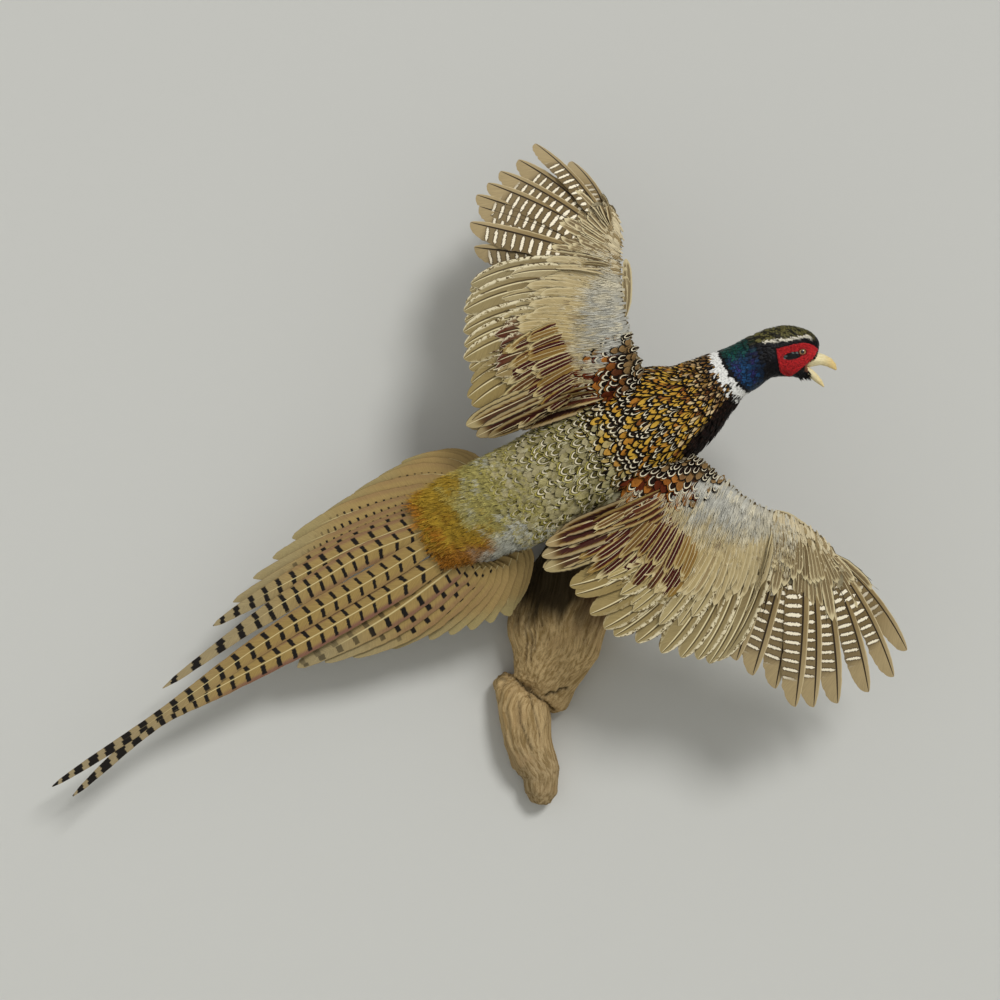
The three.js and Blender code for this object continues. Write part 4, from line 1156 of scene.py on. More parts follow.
def tailFeathers():
    for node in ("middle", "left", "right"):
        chosen = [row[1:] for row in tailShafts if row[0] == node]
        steps, paths, halves, looks = 24, [], [], []
        for line, widths, look, layer in chosen:
            path = spot(between(line, np.linspace(0, len(line) - 1, steps)))
            paths.append(path + (0, layer * 0.9 * mm, 0))
            looks.append(look)
            upper, lower = widths
            under = tailCare["under"] * (node != "middle" and look[0] < 0.8)
            halves.append((lower + under, upper) if node != "right" else (upper + under, lower))
        if node != "middle":
            # one more feather lies between each two of the outer ones
            first = 1 if node == "left" else 0
            for rows in (paths, halves, looks):
                extra = [(np.array(a) + np.array(b)) / 2 for a, b in zip(rows[first:], rows[first + 1:])]
                rows.extend(extra)
        path, halves, looks = np.array(paths), np.array(halves) * mm, np.array(looks)
        size, share = lengthOf(path), np.clip(1.1 - looks[:, 0], 0, 1)
        mirror = -1.0 if node == "right" else 1.0
        if node == "middle":
            share = share * 0
        tone = mixed(hue("9d834c"), hue("a68c58"), share)
        tint = mixed(hue("9a8a68"), hue("a49464"), share)
        gap = np.where((looks[:, 0] < 0.6) & (node == "left"), tailCare["fineGap"], tailCare["barGap"])
        mark = np.stack([size / gap, looks[:, 0] * 1.15, looks[:, 1]], -1)
        layFeathers(f"tail_{node}_feathers", "longTail" if node == "middle" else "tailVane", path,
                    np.zeros_like(path) + (0, -1, 0), halves, fanBake(len(path), 0.06, 0.94),
                    patches["tail"], "tail", "tail_feathers", 0.03, tone, tint, mark, 0.02,
                    replaces=(f"tail_{node}",), mirror=mirror)


for side, wing in wings.items():
    wingFlights(side, wing)
tailFeathers()
print("wings and tail have their flight feathers")


# coverts of the wings
shoulderEdge = {"right": ((-0.5, 0.26), (0, 0.34), (1, 0.42), (1.8, 0.38), (2.4, 0.24), (3, 0.08), (3.3, -1)),
                "left": ((-0.5, 0.72), (0, 0.68), (1, 0.52), (1.8, 0.38), (2.4, 0.22), (3, 0.1), (3.3, -1))}


def coverRow(name, side, wing, kind, count, reach, half, raised, finish, look, sweep=0.05, short=0.2):
    # coverts that each lie along a flight feather and rest on the flesh below
    path, normal, u, mirror = fanPaths(wing[kind + "Roots"], wing[kind + "Tips"], count, 0.04,
                                       sweep * wing["sweep"], 14, 2.5, reach)
    v = np.linspace(0, 1, path.shape[1])
    end = path[:, -1:] - path[:, :1]
    aside = unit(np.cross(end, (0, 1, 0))) * chance.normal(0, 1.4 * mm, (count, 1, 1))
    shift = chance.uniform(-short, 0.06, (count, 1, 1)) + 0.14 * (0.4 - u[:, None, None])
    path = path + (end * shift + aside) * v[:, None]
    path = path - np.stack([0 * v, raised * mm * smooth(v, 0, 0.3), 0 * v], -1)
    path = draped(path, raised + 0.3 - (2.0 + raised) * (1 - smooth(v, 0, 0.25)))
    normal = unit(np.cross(np.gradient(path, axis=1), np.cross(normal, np.gradient(path, axis=1))))
    tone, tint, mark = look(u, chance.random((3, count)))
    layFeathers(f"{name}_{side}", "covert", path, normal, np.full((count, 2), half * mm), fanBake(count),
                patches["cover"], finish, "covert_feathers", 0.06, tone, tint, mark, 0.04, mirror=mirror)


def coatWing(side, wing):
    surface, under = wingSurface(wing), wingSurface(wing, True)

    def lay(name, shape, rangeA, rangeC, gaps, size, half, finish, look, lieA=0.0, on=surface, sink=1.4,
            lift=(0.3, 1.6), patch="tuft", slotName="covert_feathers", within=None, lieB=1.0):
        at, chord = scatter(on, rangeA, rangeC, gaps[0] * mm, gaps[1] * mm)
        if within is not None:
            keep = within(at, chord)
            at, chord = at[keep], chord[keep]
        length = (size(at, chord) if callable(size) else size) * mm * chance.uniform(0.9, 1.1, len(at))
        ways = [way(at) if callable(way) else way for way in (lieA, lieB)]
        path, normal = overSurface(on, at, chord, *ways, length, sink * mm,
                                   chance.uniform(*lift, len(at)) * mm)
        half = (half(at, chord) if callable(half) else half) * mm + at * 0
        tone, tint, mark = look(at, chord, chance.random((3, len(at))))
        bake = np.stack([np.clip(at / 9, 0, 1) * 0.94 + 0.03, np.clip(chord, 0, 1) * 0.94 + 0.03], -1)
        webs = half[:, None] * chance.uniform(0.88, 1.12, (len(at), 1)) + np.zeros(2)
        layFeathers(f"{name}_{side}", shape, path, normal, webs, bake, patches[patch], finish, slotName,
                    chance.normal(0, 0.12, len(at)), tone, tint, mark)

    def shoulderLook(at, chord, dice):
        tone = mixed(hue("a96a2a"), hue("5e2812"), smooth(dice[0] + 0.5 * (0.35 - chord), 0.3, 0.75))
        edge = np.maximum(smooth(at + dice[1], 2.6, 3.4), smooth(0.16 - chord, 0, 0.08))
        tone = mixed(tone, mixed(hue("3a2818"), hue("8d7048"), smooth(dice[2], 0.6, 0.7)), edge)
        ringed = 0.95 * (dice[2] < 0.5 + 0.15 * edge)
        tint = mixed(tone * 0.8, hue("1f120c"), ringed > 0)
        return tone, tint, np.stack([0.58 + 0.1 * dice[1], ringed, -0.06 + 0.16 * edge], -1)

    def lesserLook(at, chord, dice):
        cool = mixed(hue("c4c2b6"), hue("d2cab2"), smooth(at + dice[0], 3.9, 5.4))
        cool = mixed(cool, hue("cbb98b"), smooth(chord + 0.25 * dice[0], 0.28, 0.5))
        tone = mixed(cool, hue("e2d8ba"), (dice[1] < 0.2 + 0.3 * smooth(at, 4, 5.4)) * 0.75)
        blot = (dice[1] > 0.93 - 0.12 * smooth(2.5 - at, 0, 1)) * smooth(chord, 0.3, 0.4)
        tone = mixed(tone, hue("57301f"), blot * 0.85)
        return tone * (0.88 + 0.3 * dice[2][:, None]), tone * 0.7, np.zeros((len(at), 3))

    def innerLook(u, dice):
        tone = mixed(hue("99793b"), hue("b59c62"), dice[0])
        tint = mixed(hue("40120b"), hue("5c3019"), dice[1])
        return tone, tint, np.stack([1.0 + 0 * u, 0.35 * dice[2], 0.9 + 0 * u], -1)

    def scapularLook(u, dice):
        tone = mixed(hue("96752f"), hue("c9b67e"), smooth(dice[0] + 0.3 * u, 0.3, 1.0))
        tint = mixed(hue("420f09"), hue("8a6a35"), smooth(dice[1] + 0.5 * smooth(u, 0.5, 1), 0.68, 0.9))
        return tone, tint, np.stack([1.0 + 0 * u, 0.6 * dice[2], 0.9 + 0 * u], -1)

    def coarseLook(u, dice):
        red = (1 - smooth(u + 0.5 * dice[1], 0.25, 0.7)) * (1.0 if side == "right" else 0.6)
        tone = mixed(hue("b89f62"), hue("c8b890"), u)
        tint = mixed(hue("ab976a"), hue("4a1810"), red * (dice[0] < 0.8))
        return tone, tint, np.stack([0.4 + 0.6 * red, 0.3 + 0.4 * dice[2], 0.8 + 0 * u], -1)

    def greaterLook(u, dice):
        tone = mixed(hue("b5a168"), hue("b8a984"), u)
        red = (side == "left") * smooth(0.2 - abs(u - 0.3), 0, 0.08) * (dice[0] < 0.7)
        tone = mixed(tone, hue("561a0f"), 0.95 * red)
        return tone, mixed(hue("9a8650"), hue("9c8a64"), u), np.stack([u * 60, 0.9 + 0 * u, 0 * u], -1)

    def handLook(u, dice):
        tone = mixed(hue("ab966c"), hue("c6b58e"), dice[0])
        tint = mixed(hue("6b583a"), hue("8d7a56"), dice[1])
        return tone, tint, np.stack([0.9 + 0 * u, 0.75 + 0 * u, 1.0 + 0 * u], -1)

    def marginLook(at, chord, dice):
        tone = mixed(hue("d3c4a0"), hue("8d7850"), smooth(dice[1], 0.55, 0.7))
        return tone, mixed(tone, hue("5a462c"), 0.55 + 0.4 * dice[0]), np.stack(
            [0.8 * dice[2], 0.3 + 0 * at, 0.5 * dice[1]], -1)

    def underLook(at, chord, dice):
        tone = mixed(hue("b3a88a"), hue("988a68"), dice[0])
        return tone, tone * 0.7, np.zeros((len(at), 3))

    def inShoulder(at, chord):
        return chord < table(edge, at) + 0.04

    def beyond(at, chord):
        return chord > table(edge, at) - 0.12

    def onward(at):
        # feathers of the hand lean to its tip
        return table(((0, -0.2), (4, 0.1), (5.2, 0.6), (6.2, 1.2), (7.5, 3), (9, 3)), at)

    edge = shoulderEdge[side]
    bend = wing["bend"]
    for name, kind, count, reach, half, raised, finish, look, *rest in (
            ("tertial_coverts", "tertial", 9, 0.66, 7.5, 2.4, "covert", innerLook),
            ("greater_coverts", "secondary", 19, 0.72, 8.2, 1.2, "secondary", greaterLook, bend, 0.07),
            ("median_coverts", "secondary", 26, 0.52, 5.8, 2.2, "covert", coarseLook, bend),
            ("primary_coverts", "primary", 13, 0.46, 5.6, 1.0, "covert", handLook),
            ("hand_median_coverts", "primary", 20, 0.3, 4.4, 1.8, "covert", handLook),
            ("scapular_coverts", "scapular", 15, 1.0, 5.2, 2.6, "covert", scapularLook, 0.05, 0.15),
            ("upper_scapulars", "scapular", 13, 0.62, 4.6, 3.6, "covert", scapularLook, 0.03, 0.15)):
        coverRow(name, side, wing, kind, count, reach, half, raised, finish, look, *rest)
    lay("lesser_coverts", "wisp", (0.6, 5.8), (-0.02, 0.66), (4.0, 4.2), 22, 3.6, "hair", lesserLook,
        onward, lift=(1.6, 3.2), within=beyond)
    lay("hand_coverts", "lance", (5.0, 8.9), (-0.04, 0.5), (4.2, 3.0), 15, 1.9, "covert", marginLook,
        onward, lift=(1.2, 2.4), patch="edge")
    lay("shoulder_feathers", "contour", (-0.5, 3.3), (-0.02, 0.74), (7.0, 7.0),
        lambda at, chord: np.interp(chord, (0.05, 0.25), (10, 18)),
        lambda at, chord: np.interp(chord, (0.0, 0.25), (2.6, 5.4)), "mantle",
        shoulderLook, lift=(1.4, 2.8), patch="shoulder", within=inShoulder)
    lay("underwing_coverts", "contour", (0.0, 8.9), (0.02, 0.97), (8.5, 9.5),
        lambda at, chord: np.interp(chord, (0.5, 0.95), (22, 9)), 6.5, "hair", underLook,
        on=under, lift=(0.4, 1.0))
    lay("leading_edge_under", "small", (0.2, 8.9), (-0.01, 0.12), (2.6, 2.8), 7, 2.0, "covert",
        marginLook, on=under, lift=(0.3, 0.9), patch="edge")


for side, wing in wings.items():
    coatWing(side, wing)
print("the wings have their coverts")


# skin under the feathers
skinCare = {"voxel": 1.7, "swell": 0.35, "bodyDepth": 2.2, "wingDepth": 0.8, "headDepth": 0.45,
            "headFrom": 0.208, "headAbove": 0.27, "lidReach": 0.0085, "lidRise": 0.5, "rimRise": 0.6}


def mergedCopy(name, nodes, swell=0.0):
    # one object from copies of CAD nodes, with loose triangles merged
    bm = bmesh.new()
    for node in nodes:
        bm.from_mesh(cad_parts[node].data)
    bmesh.ops.remove_doubles(bm, verts=bm.verts, dist=1e-6)
    bm.normal_update()
    for vert in bm.verts:
        vert.co += vert.normal * swell * mm
    return addPiece(name, meshOf(bm, name))


def remeshed(piece, voxel):
    way = piece.modifiers.new("remesh", "REMESH")
    way.mode, way.voxel_size = "VOXEL", voxel * mm
    whole = piece.evaluated_get(bpy.context.evaluated_depsgraph_get())
    piece.data = bpy.data.meshes.new_from_object(whole)
    piece.modifiers.clear()
    return piece


def placesOf(mesh):
    return readPoints(mesh.vertices, "co").astype(float)


def normalsOf(mesh):
    return readPoints(mesh.vertex_normals, "vector").astype(float)


def relaxed(mesh, rounds, share=1.0):
    # smoothing that keeps the size
    edges = readPoints(mesh.edges, "vertices", np.int32, 2)
    places = placesOf(mesh)
    size = len(places)
    joined = np.maximum(np.bincount(edges.ravel(), minlength=size), 1)[:, None]
    for k in range(rounds):
        total = np.stack([np.bincount(edges[:, 0], places[edges[:, 1], a], size) +
                          np.bincount(edges[:, 1], places[edges[:, 0], a], size) for a in range(3)], -1)
        places = places + (total / joined - places) * (0.5 if k % 2 == 0 else -0.51) * share
    setPlaces(mesh, places)


def setPlaces(mesh, places):
    mesh.vertices.foreach_set("co", places.astype(np.float32).ravel())
    smoothed(mesh).update()


def objectPlace(tree, scale=(1, 1, 1)):
    where = tree.nodes.new("ShaderNodeTexCoord")
    turned = tree.nodes.new("ShaderNodeMapping")
    turned.inputs["Scale"].default_value = scale
    tree.links.new(where.outputs["Object"], turned.inputs["Vector"])
    return turned.outputs[0]


def skinMaterial():
    made, tree = newMaterial("birdSkin")
    place = objectPlace(tree)
    down = speckle(tree, place, 900.0, 3.0, 0.65)
    base = streaked(tree, attribute(tree, "tone", "Color"), down, 0.6, 1.15)
    deep = rise(tree, cells(tree, place, 1100.0), 0.15, 0.7)
    red = tinted(tree, deep, paint("b01f22"), paint("6d0d12"))
    red = streaked(tree, red, speckle(tree, place, 260.0, 2.0), 0.8, 1.15)
    face = attribute(tree, "face")
    color = tinted(tree, face, base, red)
    height = minus(tree, down, times(tree, deep, face))
    finishWith(tree, color, 0.62, height, 0.5, 0.0006)
    return made


def openGape(places):
    # the corner of the mouth lies back between the two halves of the bill
    x, z = places[:, 0] / mm, places[:, 2] / mm
    back = smooth(x, 250, 257) * smooth(6.5 - np.abs(z - 290.5), 0, 4)
    return places - np.stack([6.0 * back, 0 * back, 0 * back], -1) * mm


def makeSkin():
    piece = remeshed(mergedCopy("bird_skin", flesh, skinCare["swell"]), skinCare["voxel"])
    relaxed(piece.data, 10)
    eye = np.array(headMarks["eye"]) * mm
    for test in (lambda v: v.x > skinCare["headFrom"] and v.z > skinCare["headAbove"],
                 lambda v: math.hypot(v.x - eye[0], v.z - eye[1]) < skinCare["lidReach"]
                 and v.z > skinCare["headAbove"]):
        # the head, and then the lids, get finer faces
        bm = bmesh.new()
        bm.from_mesh(piece.data)
        chosen = [e for e in bm.edges if all(test(v.co) for v in e.verts)]
        bmesh.ops.subdivide_edges(bm, edges=chosen, cuts=1, use_grid_fill=True)
        bm.to_mesh(piece.data)
        bm.free()
    relaxed(piece.data, 4, 0.8)
    mesh = piece.data
    places, normals = placesOf(mesh), normalsOf(mesh)
    roots, colors = np.concatenate(rootPlaces), np.concatenate(rootTones)
    places = openGape(places)
    tree = kdtree.KDTree(len(roots))
    for i, root in enumerate(roots):
        tree.insert(root, i)
    tree.balance()
    near = np.array([tree.find(p)[1] for p in places])
    tone = colors[near] * 0.8
    x, off, z = places[:, 0] / mm, -places[:, 1] / mm, places[:, 2] / mm
    mouth = smooth(x, 247.5, 250) * (1 - smooth(np.abs(z - 289.5), 5, 7))
    tone = mixed(tone, hue("8a5a42"), mouth)
    depth = np.where(near < bodyRoots, skinCare["bodyDepth"], skinCare["wingDepth"])
    headShare = smooth(x, 168, 200) * smooth(z, 255, 275)
    depth = depth * (1 - headShare) + skinCare["headDepth"] * headShare
    face = smooth(inWattle(x, z), -0.4, 0.6) * (np.abs(off - headMarks["middle"]) > 4)
    face = face * (1 - smooth(inPatch(x, z), -0.06, 0.1))
    lumps = np.array([noise.noise(Vector(p) * 260) for p in places[face > 0]])
    raised = np.zeros(len(places))
    raised[face > 0] = 0.35 + 0.5 * lumps
    raised += face * skinCare["rimRise"] * np.exp(-((inWattle(x, z) - 1.4) / 1.0) ** 2)
    raised += headShare * skinCare["lidRise"] * np.exp(-((fromEye(x, z) - 5.6) / 0.9) ** 2)
    places = places + normals * ((raised - depth - skinCare["swell"] + face * 0.45) * mm)[:, None]
    setPlaces(mesh, places)
    setTone(mesh, "tone", tone)
    setLayer(mesh, "face", "FLOAT", face)
    mesh.materials.append(skinMaterial())
    keepPiece(piece, "head_skin", *flesh)
    print(f"  skin: {len(mesh.polygons)} faces")


makeSkin()
print("one skin lies under the feathers")


# face, eyes and bill
eyeCare = {"radius": 6.0, "aside": 10.7, "pupil": 1.7, "iris": 2.9, "opening": (3.3, 2.55), "tilt": 0.2,
           "lidReach": 6.6, "lidShell": 6.32}


def eyeMaterial():
    made, tree = newMaterial("glassEye")
    place = axes(tree, objectPlace(tree))
    dx = minus(tree, place[0], headMarks["eye"][0] * mm)
    dz = minus(tree, place[2], headMarks["eye"][1] * mm)
    far = calc(tree, "SQRT", plus(tree, times(tree, dx, dx), times(tree, dz, dz)))
    angle = calc(tree, "ARCTAN2", dz, dx)
    rays = speckle(tree, put(tree, "ShaderNodeCombineXYZ", times(tree, angle, 9.0),
                             times(tree, far, 600.0), 0.0), 1.0, 3.0)
    iris = tinted(tree, rise(tree, far, eyeCare["pupil"] * mm, eyeCare["iris"] * mm),
                  paint("7d4e24"), paint("c09c68"))
    iris = streaked(tree, iris, rays, 0.65, 1.3)
    color = tinted(tree, rise(tree, far, (eyeCare["pupil"] + 0.08) * mm, (eyeCare["pupil"] - 0.08) * mm),
                   iris, paint("070605"))
    color = tinted(tree, rise(tree, far, (eyeCare["iris"] - 0.1) * mm, (eyeCare["iris"] + 0.25) * mm),
                   color, paint("140d0a"))
    finishWith(tree, color, 0.12, rays, 0.05, 0.0002, **{
        "Coat Weight": 1.0, "Coat Roughness": 0.02, "Coat IOR": 1.5})
    return made


def lidMaterial():
    made, tree = newMaterial("eyelid")
    grain = speckle(tree, objectPlace(tree), 1500.0, 3.0)
    color = tinted(tree, attribute(tree, "rim"), paint("8e1a1c"), paint("2a1512"))
    color = streaked(tree, color, grain, 0.7, 1.25)
    finishWith(tree, color, 0.5, grain, 0.4, 0.0003)
    return made


def makeEyes():
    glass, lidSkin = eyeMaterial(), lidMaterial()
    eyeX, eyeZ = headMarks["eye"]
    for side, way in (("right", -1), ("left", 1)):
        center = np.array([eyeX * mm, (-headMarks["middle"] + way * eyeCare["aside"]) * mm, eyeZ * mm])
        bm = bmesh.new()
        bmesh.ops.create_uvsphere(bm, u_segments=48, v_segments=32, radius=eyeCare["radius"] * mm)
        bmesh.ops.rotate(bm, verts=bm.verts, matrix=Matrix.Rotation(math.pi / 2, 3, "X"))
        for vert in bm.verts:
            facing = vert.co.y * way / (eyeCare["radius"] * mm)
            vert.co *= 1 + 0.05 * float(smooth(np.array(facing), 0.84, 1.0))
        bmesh.ops.translate(bm, verts=bm.verts, vec=center)
        mesh = smoothed(meshOf(bm, f"glass_eye_{side}"))
        mesh.materials.append(glass)
        keepPiece(addPiece(f"glass_eye_{side}", mesh), "eye_glass", f"eye_{side}")

        # lids: a ring that rests on the eyeball, with a rolled rim and soft waves around it
        bm = bmesh.new()
        bmesh.ops.create_grid(bm, x_segments=64, y_segments=14, size=1)
        rims = []
        for vert in bm.verts:
            turn, t = (vert.co.x + 1) * math.pi, (vert.co.y + 1) / 2
            wide, tall = eyeCare["opening"]
            corner = 1 + 0.12 * abs(math.cos(turn)) ** 6
            ring = np.array([math.cos(turn) * wide * corner, math.sin(turn) * tall])
            grown = ring * (1 + t * (eyeCare["lidReach"] / np.linalg.norm(ring) - 1))
            c, s = math.cos(eyeCare["tilt"]), math.sin(eyeCare["tilt"])
            dx, dz = c * grown[0] - s * grown[1], s * grown[0] + c * grown[1]
            shell = eyeCare["lidShell"] + 0.45 * math.sin(min(1, t / 0.16) * math.pi)
            shell += 0.18 * math.sin(t * 15) * (1 - t)
            shell = max(shell, 6.3 + 0.25 * min(1, t * 3))
            depth = math.sqrt(max(shell ** 2 - min(dx * dx + dz * dz, shell ** 2 - 0.5), 0.5))
            rims.append(max(0.0, 1 - t / 0.2))
            vert.co = Vector((center[0] + dx * mm, center[1] + way * depth * mm, center[2] + dz * mm))
        layer = bm.verts.layers.float.new("rim")
        for vert, value in zip(bm.verts, rims):
            vert[layer] = value
        bmesh.ops.remove_doubles(bm, verts=bm.verts, dist=1e-6)
        bmesh.ops.recalc_face_normals(bm, faces=bm.faces)
        bm.normal_update()
        if sum(f.normal.y * way for f in bm.faces) < 0:
            bmesh.ops.reverse_faces(bm, faces=bm.faces)
        mesh = smoothed(meshOf(bm, f"eyelids_{side}"))
        mesh.materials.append(lidSkin)
        keepPiece(addPiece(f"eyelids_{side}", mesh), "head_skin")


def hornMaterial(name, root, tip, fromX, toX, roughness=0.32):
    made, tree = newMaterial(name)
    grain = speckle(tree, objectPlace(tree, (1, 1, 4)), 420.0, 4.0)
    outward = rise(tree, axes(tree, objectPlace(tree))[0], fromX * mm, toX * mm)
    color = tinted(tree, outward, paint(root), paint(tip))
    color = streaked(tree, color, grain, 0.8, 1.12)
    finishWith(tree, color, roughness, grain, 0.15, 0.0003)
    return made


billCare = {"nostril": (265.6, 297.9), "nostrilSize": (2.6, 1.0), "voxel": 0.5, "fine": 0.35,
            "deeper": 3.0, "longer": 5.0}


def makeBill():
    for name, node, slotName, voxel, looks in (
            ("bill_upper_horn", "bill_upper", "bill_horn", "voxel", ("e9dcae", "dcbf7c", 262, 281, 0.3)),
            ("bill_lower_horn", "bill_lower", "bill_horn", "voxel", ("e6d9ae", "dfc98f", 254, 269, 0.3)),
            ("tongue_flesh", "tongue", "tongue_skin", "fine", ("8a5a4a", "b98a76", 249, 264, 0.45))):
        piece = remeshed(mergedCopy(name, [node]), billCare[voxel])
        relaxed(piece.data, 8)
        mesh = piece.data
        places, normals = placesOf(mesh), normalsOf(mesh)
        x, z = places[:, 0] / mm, places[:, 2] / mm
        dent = np.zeros(len(places))
        if node == "bill_upper":
            dx, dz = x - billCare["nostril"][0], z - billCare["nostril"][1]
            dz = dz + 0.25 * dx
            far = np.hypot(dx / billCare["nostrilSize"][0], dz / billCare["nostrilSize"][1])
            above = np.hypot(dx / 3.4, (dz - 1.9) / 1.1)
            dent = -1.0 * np.exp(-far ** 2) + 0.45 * np.exp(-above ** 2)
            dent = dent * smooth(np.abs(normals[:, 1]), 0.3, 0.7)
            base = smooth(-x, -267, -256)
            flare = smooth(-x, -268, -258) * smooth(-z, -300, -294) * 0.75
            places[:, 1] += flare * (places[:, 1] + headMarks["middle"] * mm)
            places[:, 2] -= base * smooth(-z, -298, -291) * billCare["deeper"] * mm
            places[:, 0] -= base * smooth(-z, -297, -290) * billCare["longer"] * mm
            places[:, 2] += base * smooth(z, 298, 303) * 0.8 * mm
        dent -= 0.05 * (1 + np.sin(x * 5 + z * 2)) * (slotName == "bill_horn")
        setPlaces(mesh, places + normals * (dent * mm)[:, None])
        mesh.materials.append(hornMaterial(name, *looks))
        keepPiece(piece, slotName, node)


domes = {"cell": 0.85, "size": (0.38, 0.66), "height": 0.8, "loose": 0.2}


def wattleMaterial():
    made, tree = newMaterial("wattle")
    grain = speckle(tree, objectPlace(tree), 500.0, 3.0)
    color = streaked(tree, paint("bd2024"), grain, 0.55, 1.25)
    finishWith(tree, color, 0.5, grain, 0.3, 0.0003, **{"Sheen Weight": 0.08, "Sheen Roughness": 0.4})
    return made


def makePapillae():
    # low domes crowd the bare face, one in each small cell of its skin
    mesh = bpy.data.objects["bird_skin"].data
    places, normals = placesOf(mesh), normalsOf(mesh)
    x, off, z = places[:, 0] / mm, -places[:, 1] / mm, places[:, 2] / mm
    fit = (inWattle(x, z) > 0.1) & (inPatch(x, z) < -0.02) & (np.abs(off - headMarks["middle"]) > 4)
    fit &= fromEye(x, z) > 4.7
    chosen = np.flatnonzero(fit)
    chance.shuffle(chosen)
    first = {}
    for i in chosen:
        first.setdefault(tuple(np.floor(places[i] / (domes["cell"] * mm)).astype(int)), i)
    kept = np.array(list(first.values()))
    bm = bmesh.new()
    bmesh.ops.create_uvsphere(bm, u_segments=7, v_segments=5, radius=1.0)
    bmesh.ops.triangulate(bm, faces=bm.faces)
    form = np.array([v.co for v in bm.verts])
    faces = np.array([[v.index for v in f.verts] for f in bm.faces])
    bm.free()
    out = unit(normals[kept])
    one = unit(np.cross(out, (0.3, 0.5, 0.8)))
    two = np.cross(out, one)
    size = chance.uniform(*domes["size"], len(kept))[:, None, None] * mm
    aside = chance.normal(0, domes["loose"] * mm, (2, len(kept), 1))
    middle = places[kept] + one * aside[0] + two * aside[1]
    spread = form[None, :, 0:1] * one[:, None] + form[None, :, 1:2] * two[:, None]
    solid = middle[:, None] + spread * size + form[None, :, 2:3] * out[:, None] * size * domes["height"]
    faces = faces[None] + (np.arange(len(kept)) * len(form))[:, None, None]
    made = bpy.data.meshes.new("wattle_papillae")
    fillMesh(made, solid.reshape(-1, 3), faces.reshape(-1, 3))
    # each side of the face has one half of the map
    roots = np.stack([0.04 + 0.42 * (x[kept] - 219) / 45 + 0.5 * (off[kept] > headMarks["middle"]),
                      0.04 + 0.92 * (z[kept] - 276) / 38], -1)
    around = form[None, :, :2] * patches["tuft"] / 2
    setMap(made, "OFBake", (roots[:, None] + around).reshape(-1, 2)[faces.reshape(-1)])
    made.materials.append(wattleMaterial())
    keepPiece(addPiece("wattle_papillae", made), "head_skin")
    print(f"  papillae: {len(kept)}")


def makeChin():
    # black bristly feathers under the bill
    count = 70
    x, z = chance.uniform(243, 253, count), chance.uniform(279, 285, count)
    off = headMarks["middle"] + chance.uniform(-7, 7, count)
    start = spot(np.stack([x, off, z], -1))
    aim = unit(np.stack([chance.uniform(0.3, 1.0, count), chance.uniform(-0.3, 0.3, count),
                         chance.uniform(-1.0, -0.25, count)], -1))
    length = chance.uniform(5, 9, count) * mm
    path = start[:, None] + aim[:, None] * (np.linspace(0, 1, 4)[None, :, None] * length[:, None, None])
    normal = np.zeros_like(path) + (0, -1, 0)
    layFeathers("chin_bristles", "spike", path, normal, np.full((count, 2), 1.3 * mm),
                chance.uniform(0.1, 0.9, (count, 2)), patches["tuft"], "neck", "head_skin",
                chance.uniform(-1, 1, count), soot * 0.5, soot * 0.4, (0.5, 0, 0.02))


makeEyes()
makeBill()
makePapillae()
makeChin()
print("eyes, bill and face are in place")


# legs and feet
# toes: how far each reaches back, how far it drops and the angle that it splays at
legPlan = {
    "stations": ((18, 104, 166, 14), (0, 93, 155, 13), (-18, 83, 144, 10), (-36, 75, 133, 5.5)),
    "aside": (-7, 14), "toeRoot": (-104, 60, 103.2), "voxel": 0.9, "clawWidth": 2.3,
    "toes": ((-46, 6, 0.34), (-54, 0, 0.02), (-44, 4, -0.32), (-22, -6, 0.9)),
}


def scaleMaterial():
    made, tree = newMaterial("legScales")
    seam = rise(tree, cells(tree, objectPlace(tree, (1, 1, 1.6)), 330.0), 0.35, 0.75)
    grain = speckle(tree, objectPlace(tree), 300.0, 4.0)
    color = tinted(tree, seam, paint("8c8470"), paint("4b4335"))
    color = streaked(tree, color, grain, 0.75, 1.2)
    finishWith(tree, color, 0.45, minus(tree, 1.0, seam), 0.6, 0.0008)
    return made


def tubeSurface(stations, aside):
    def surface(at, turn, grow):
        row = between(stations, at)
        middle = row[..., :3] + np.array([legPlan["aside"][0] * aside, 0, legPlan["aside"][1] * aside])
        ahead, behind = between(stations, at + 0.05), between(stations, at - 0.05)
        along = unit(spot(ahead[..., :3]) - spot(behind[..., :3]))
        across = unit(np.cross(along, (0, 1, 0)))
        outward = np.cross(along, across)
        reach = across * np.cos(turn)[..., None] + outward * np.sin(turn)[..., None]
        return spot(middle) + reach * (row[..., 3] * mm + grow)[..., None], reach
    return surface


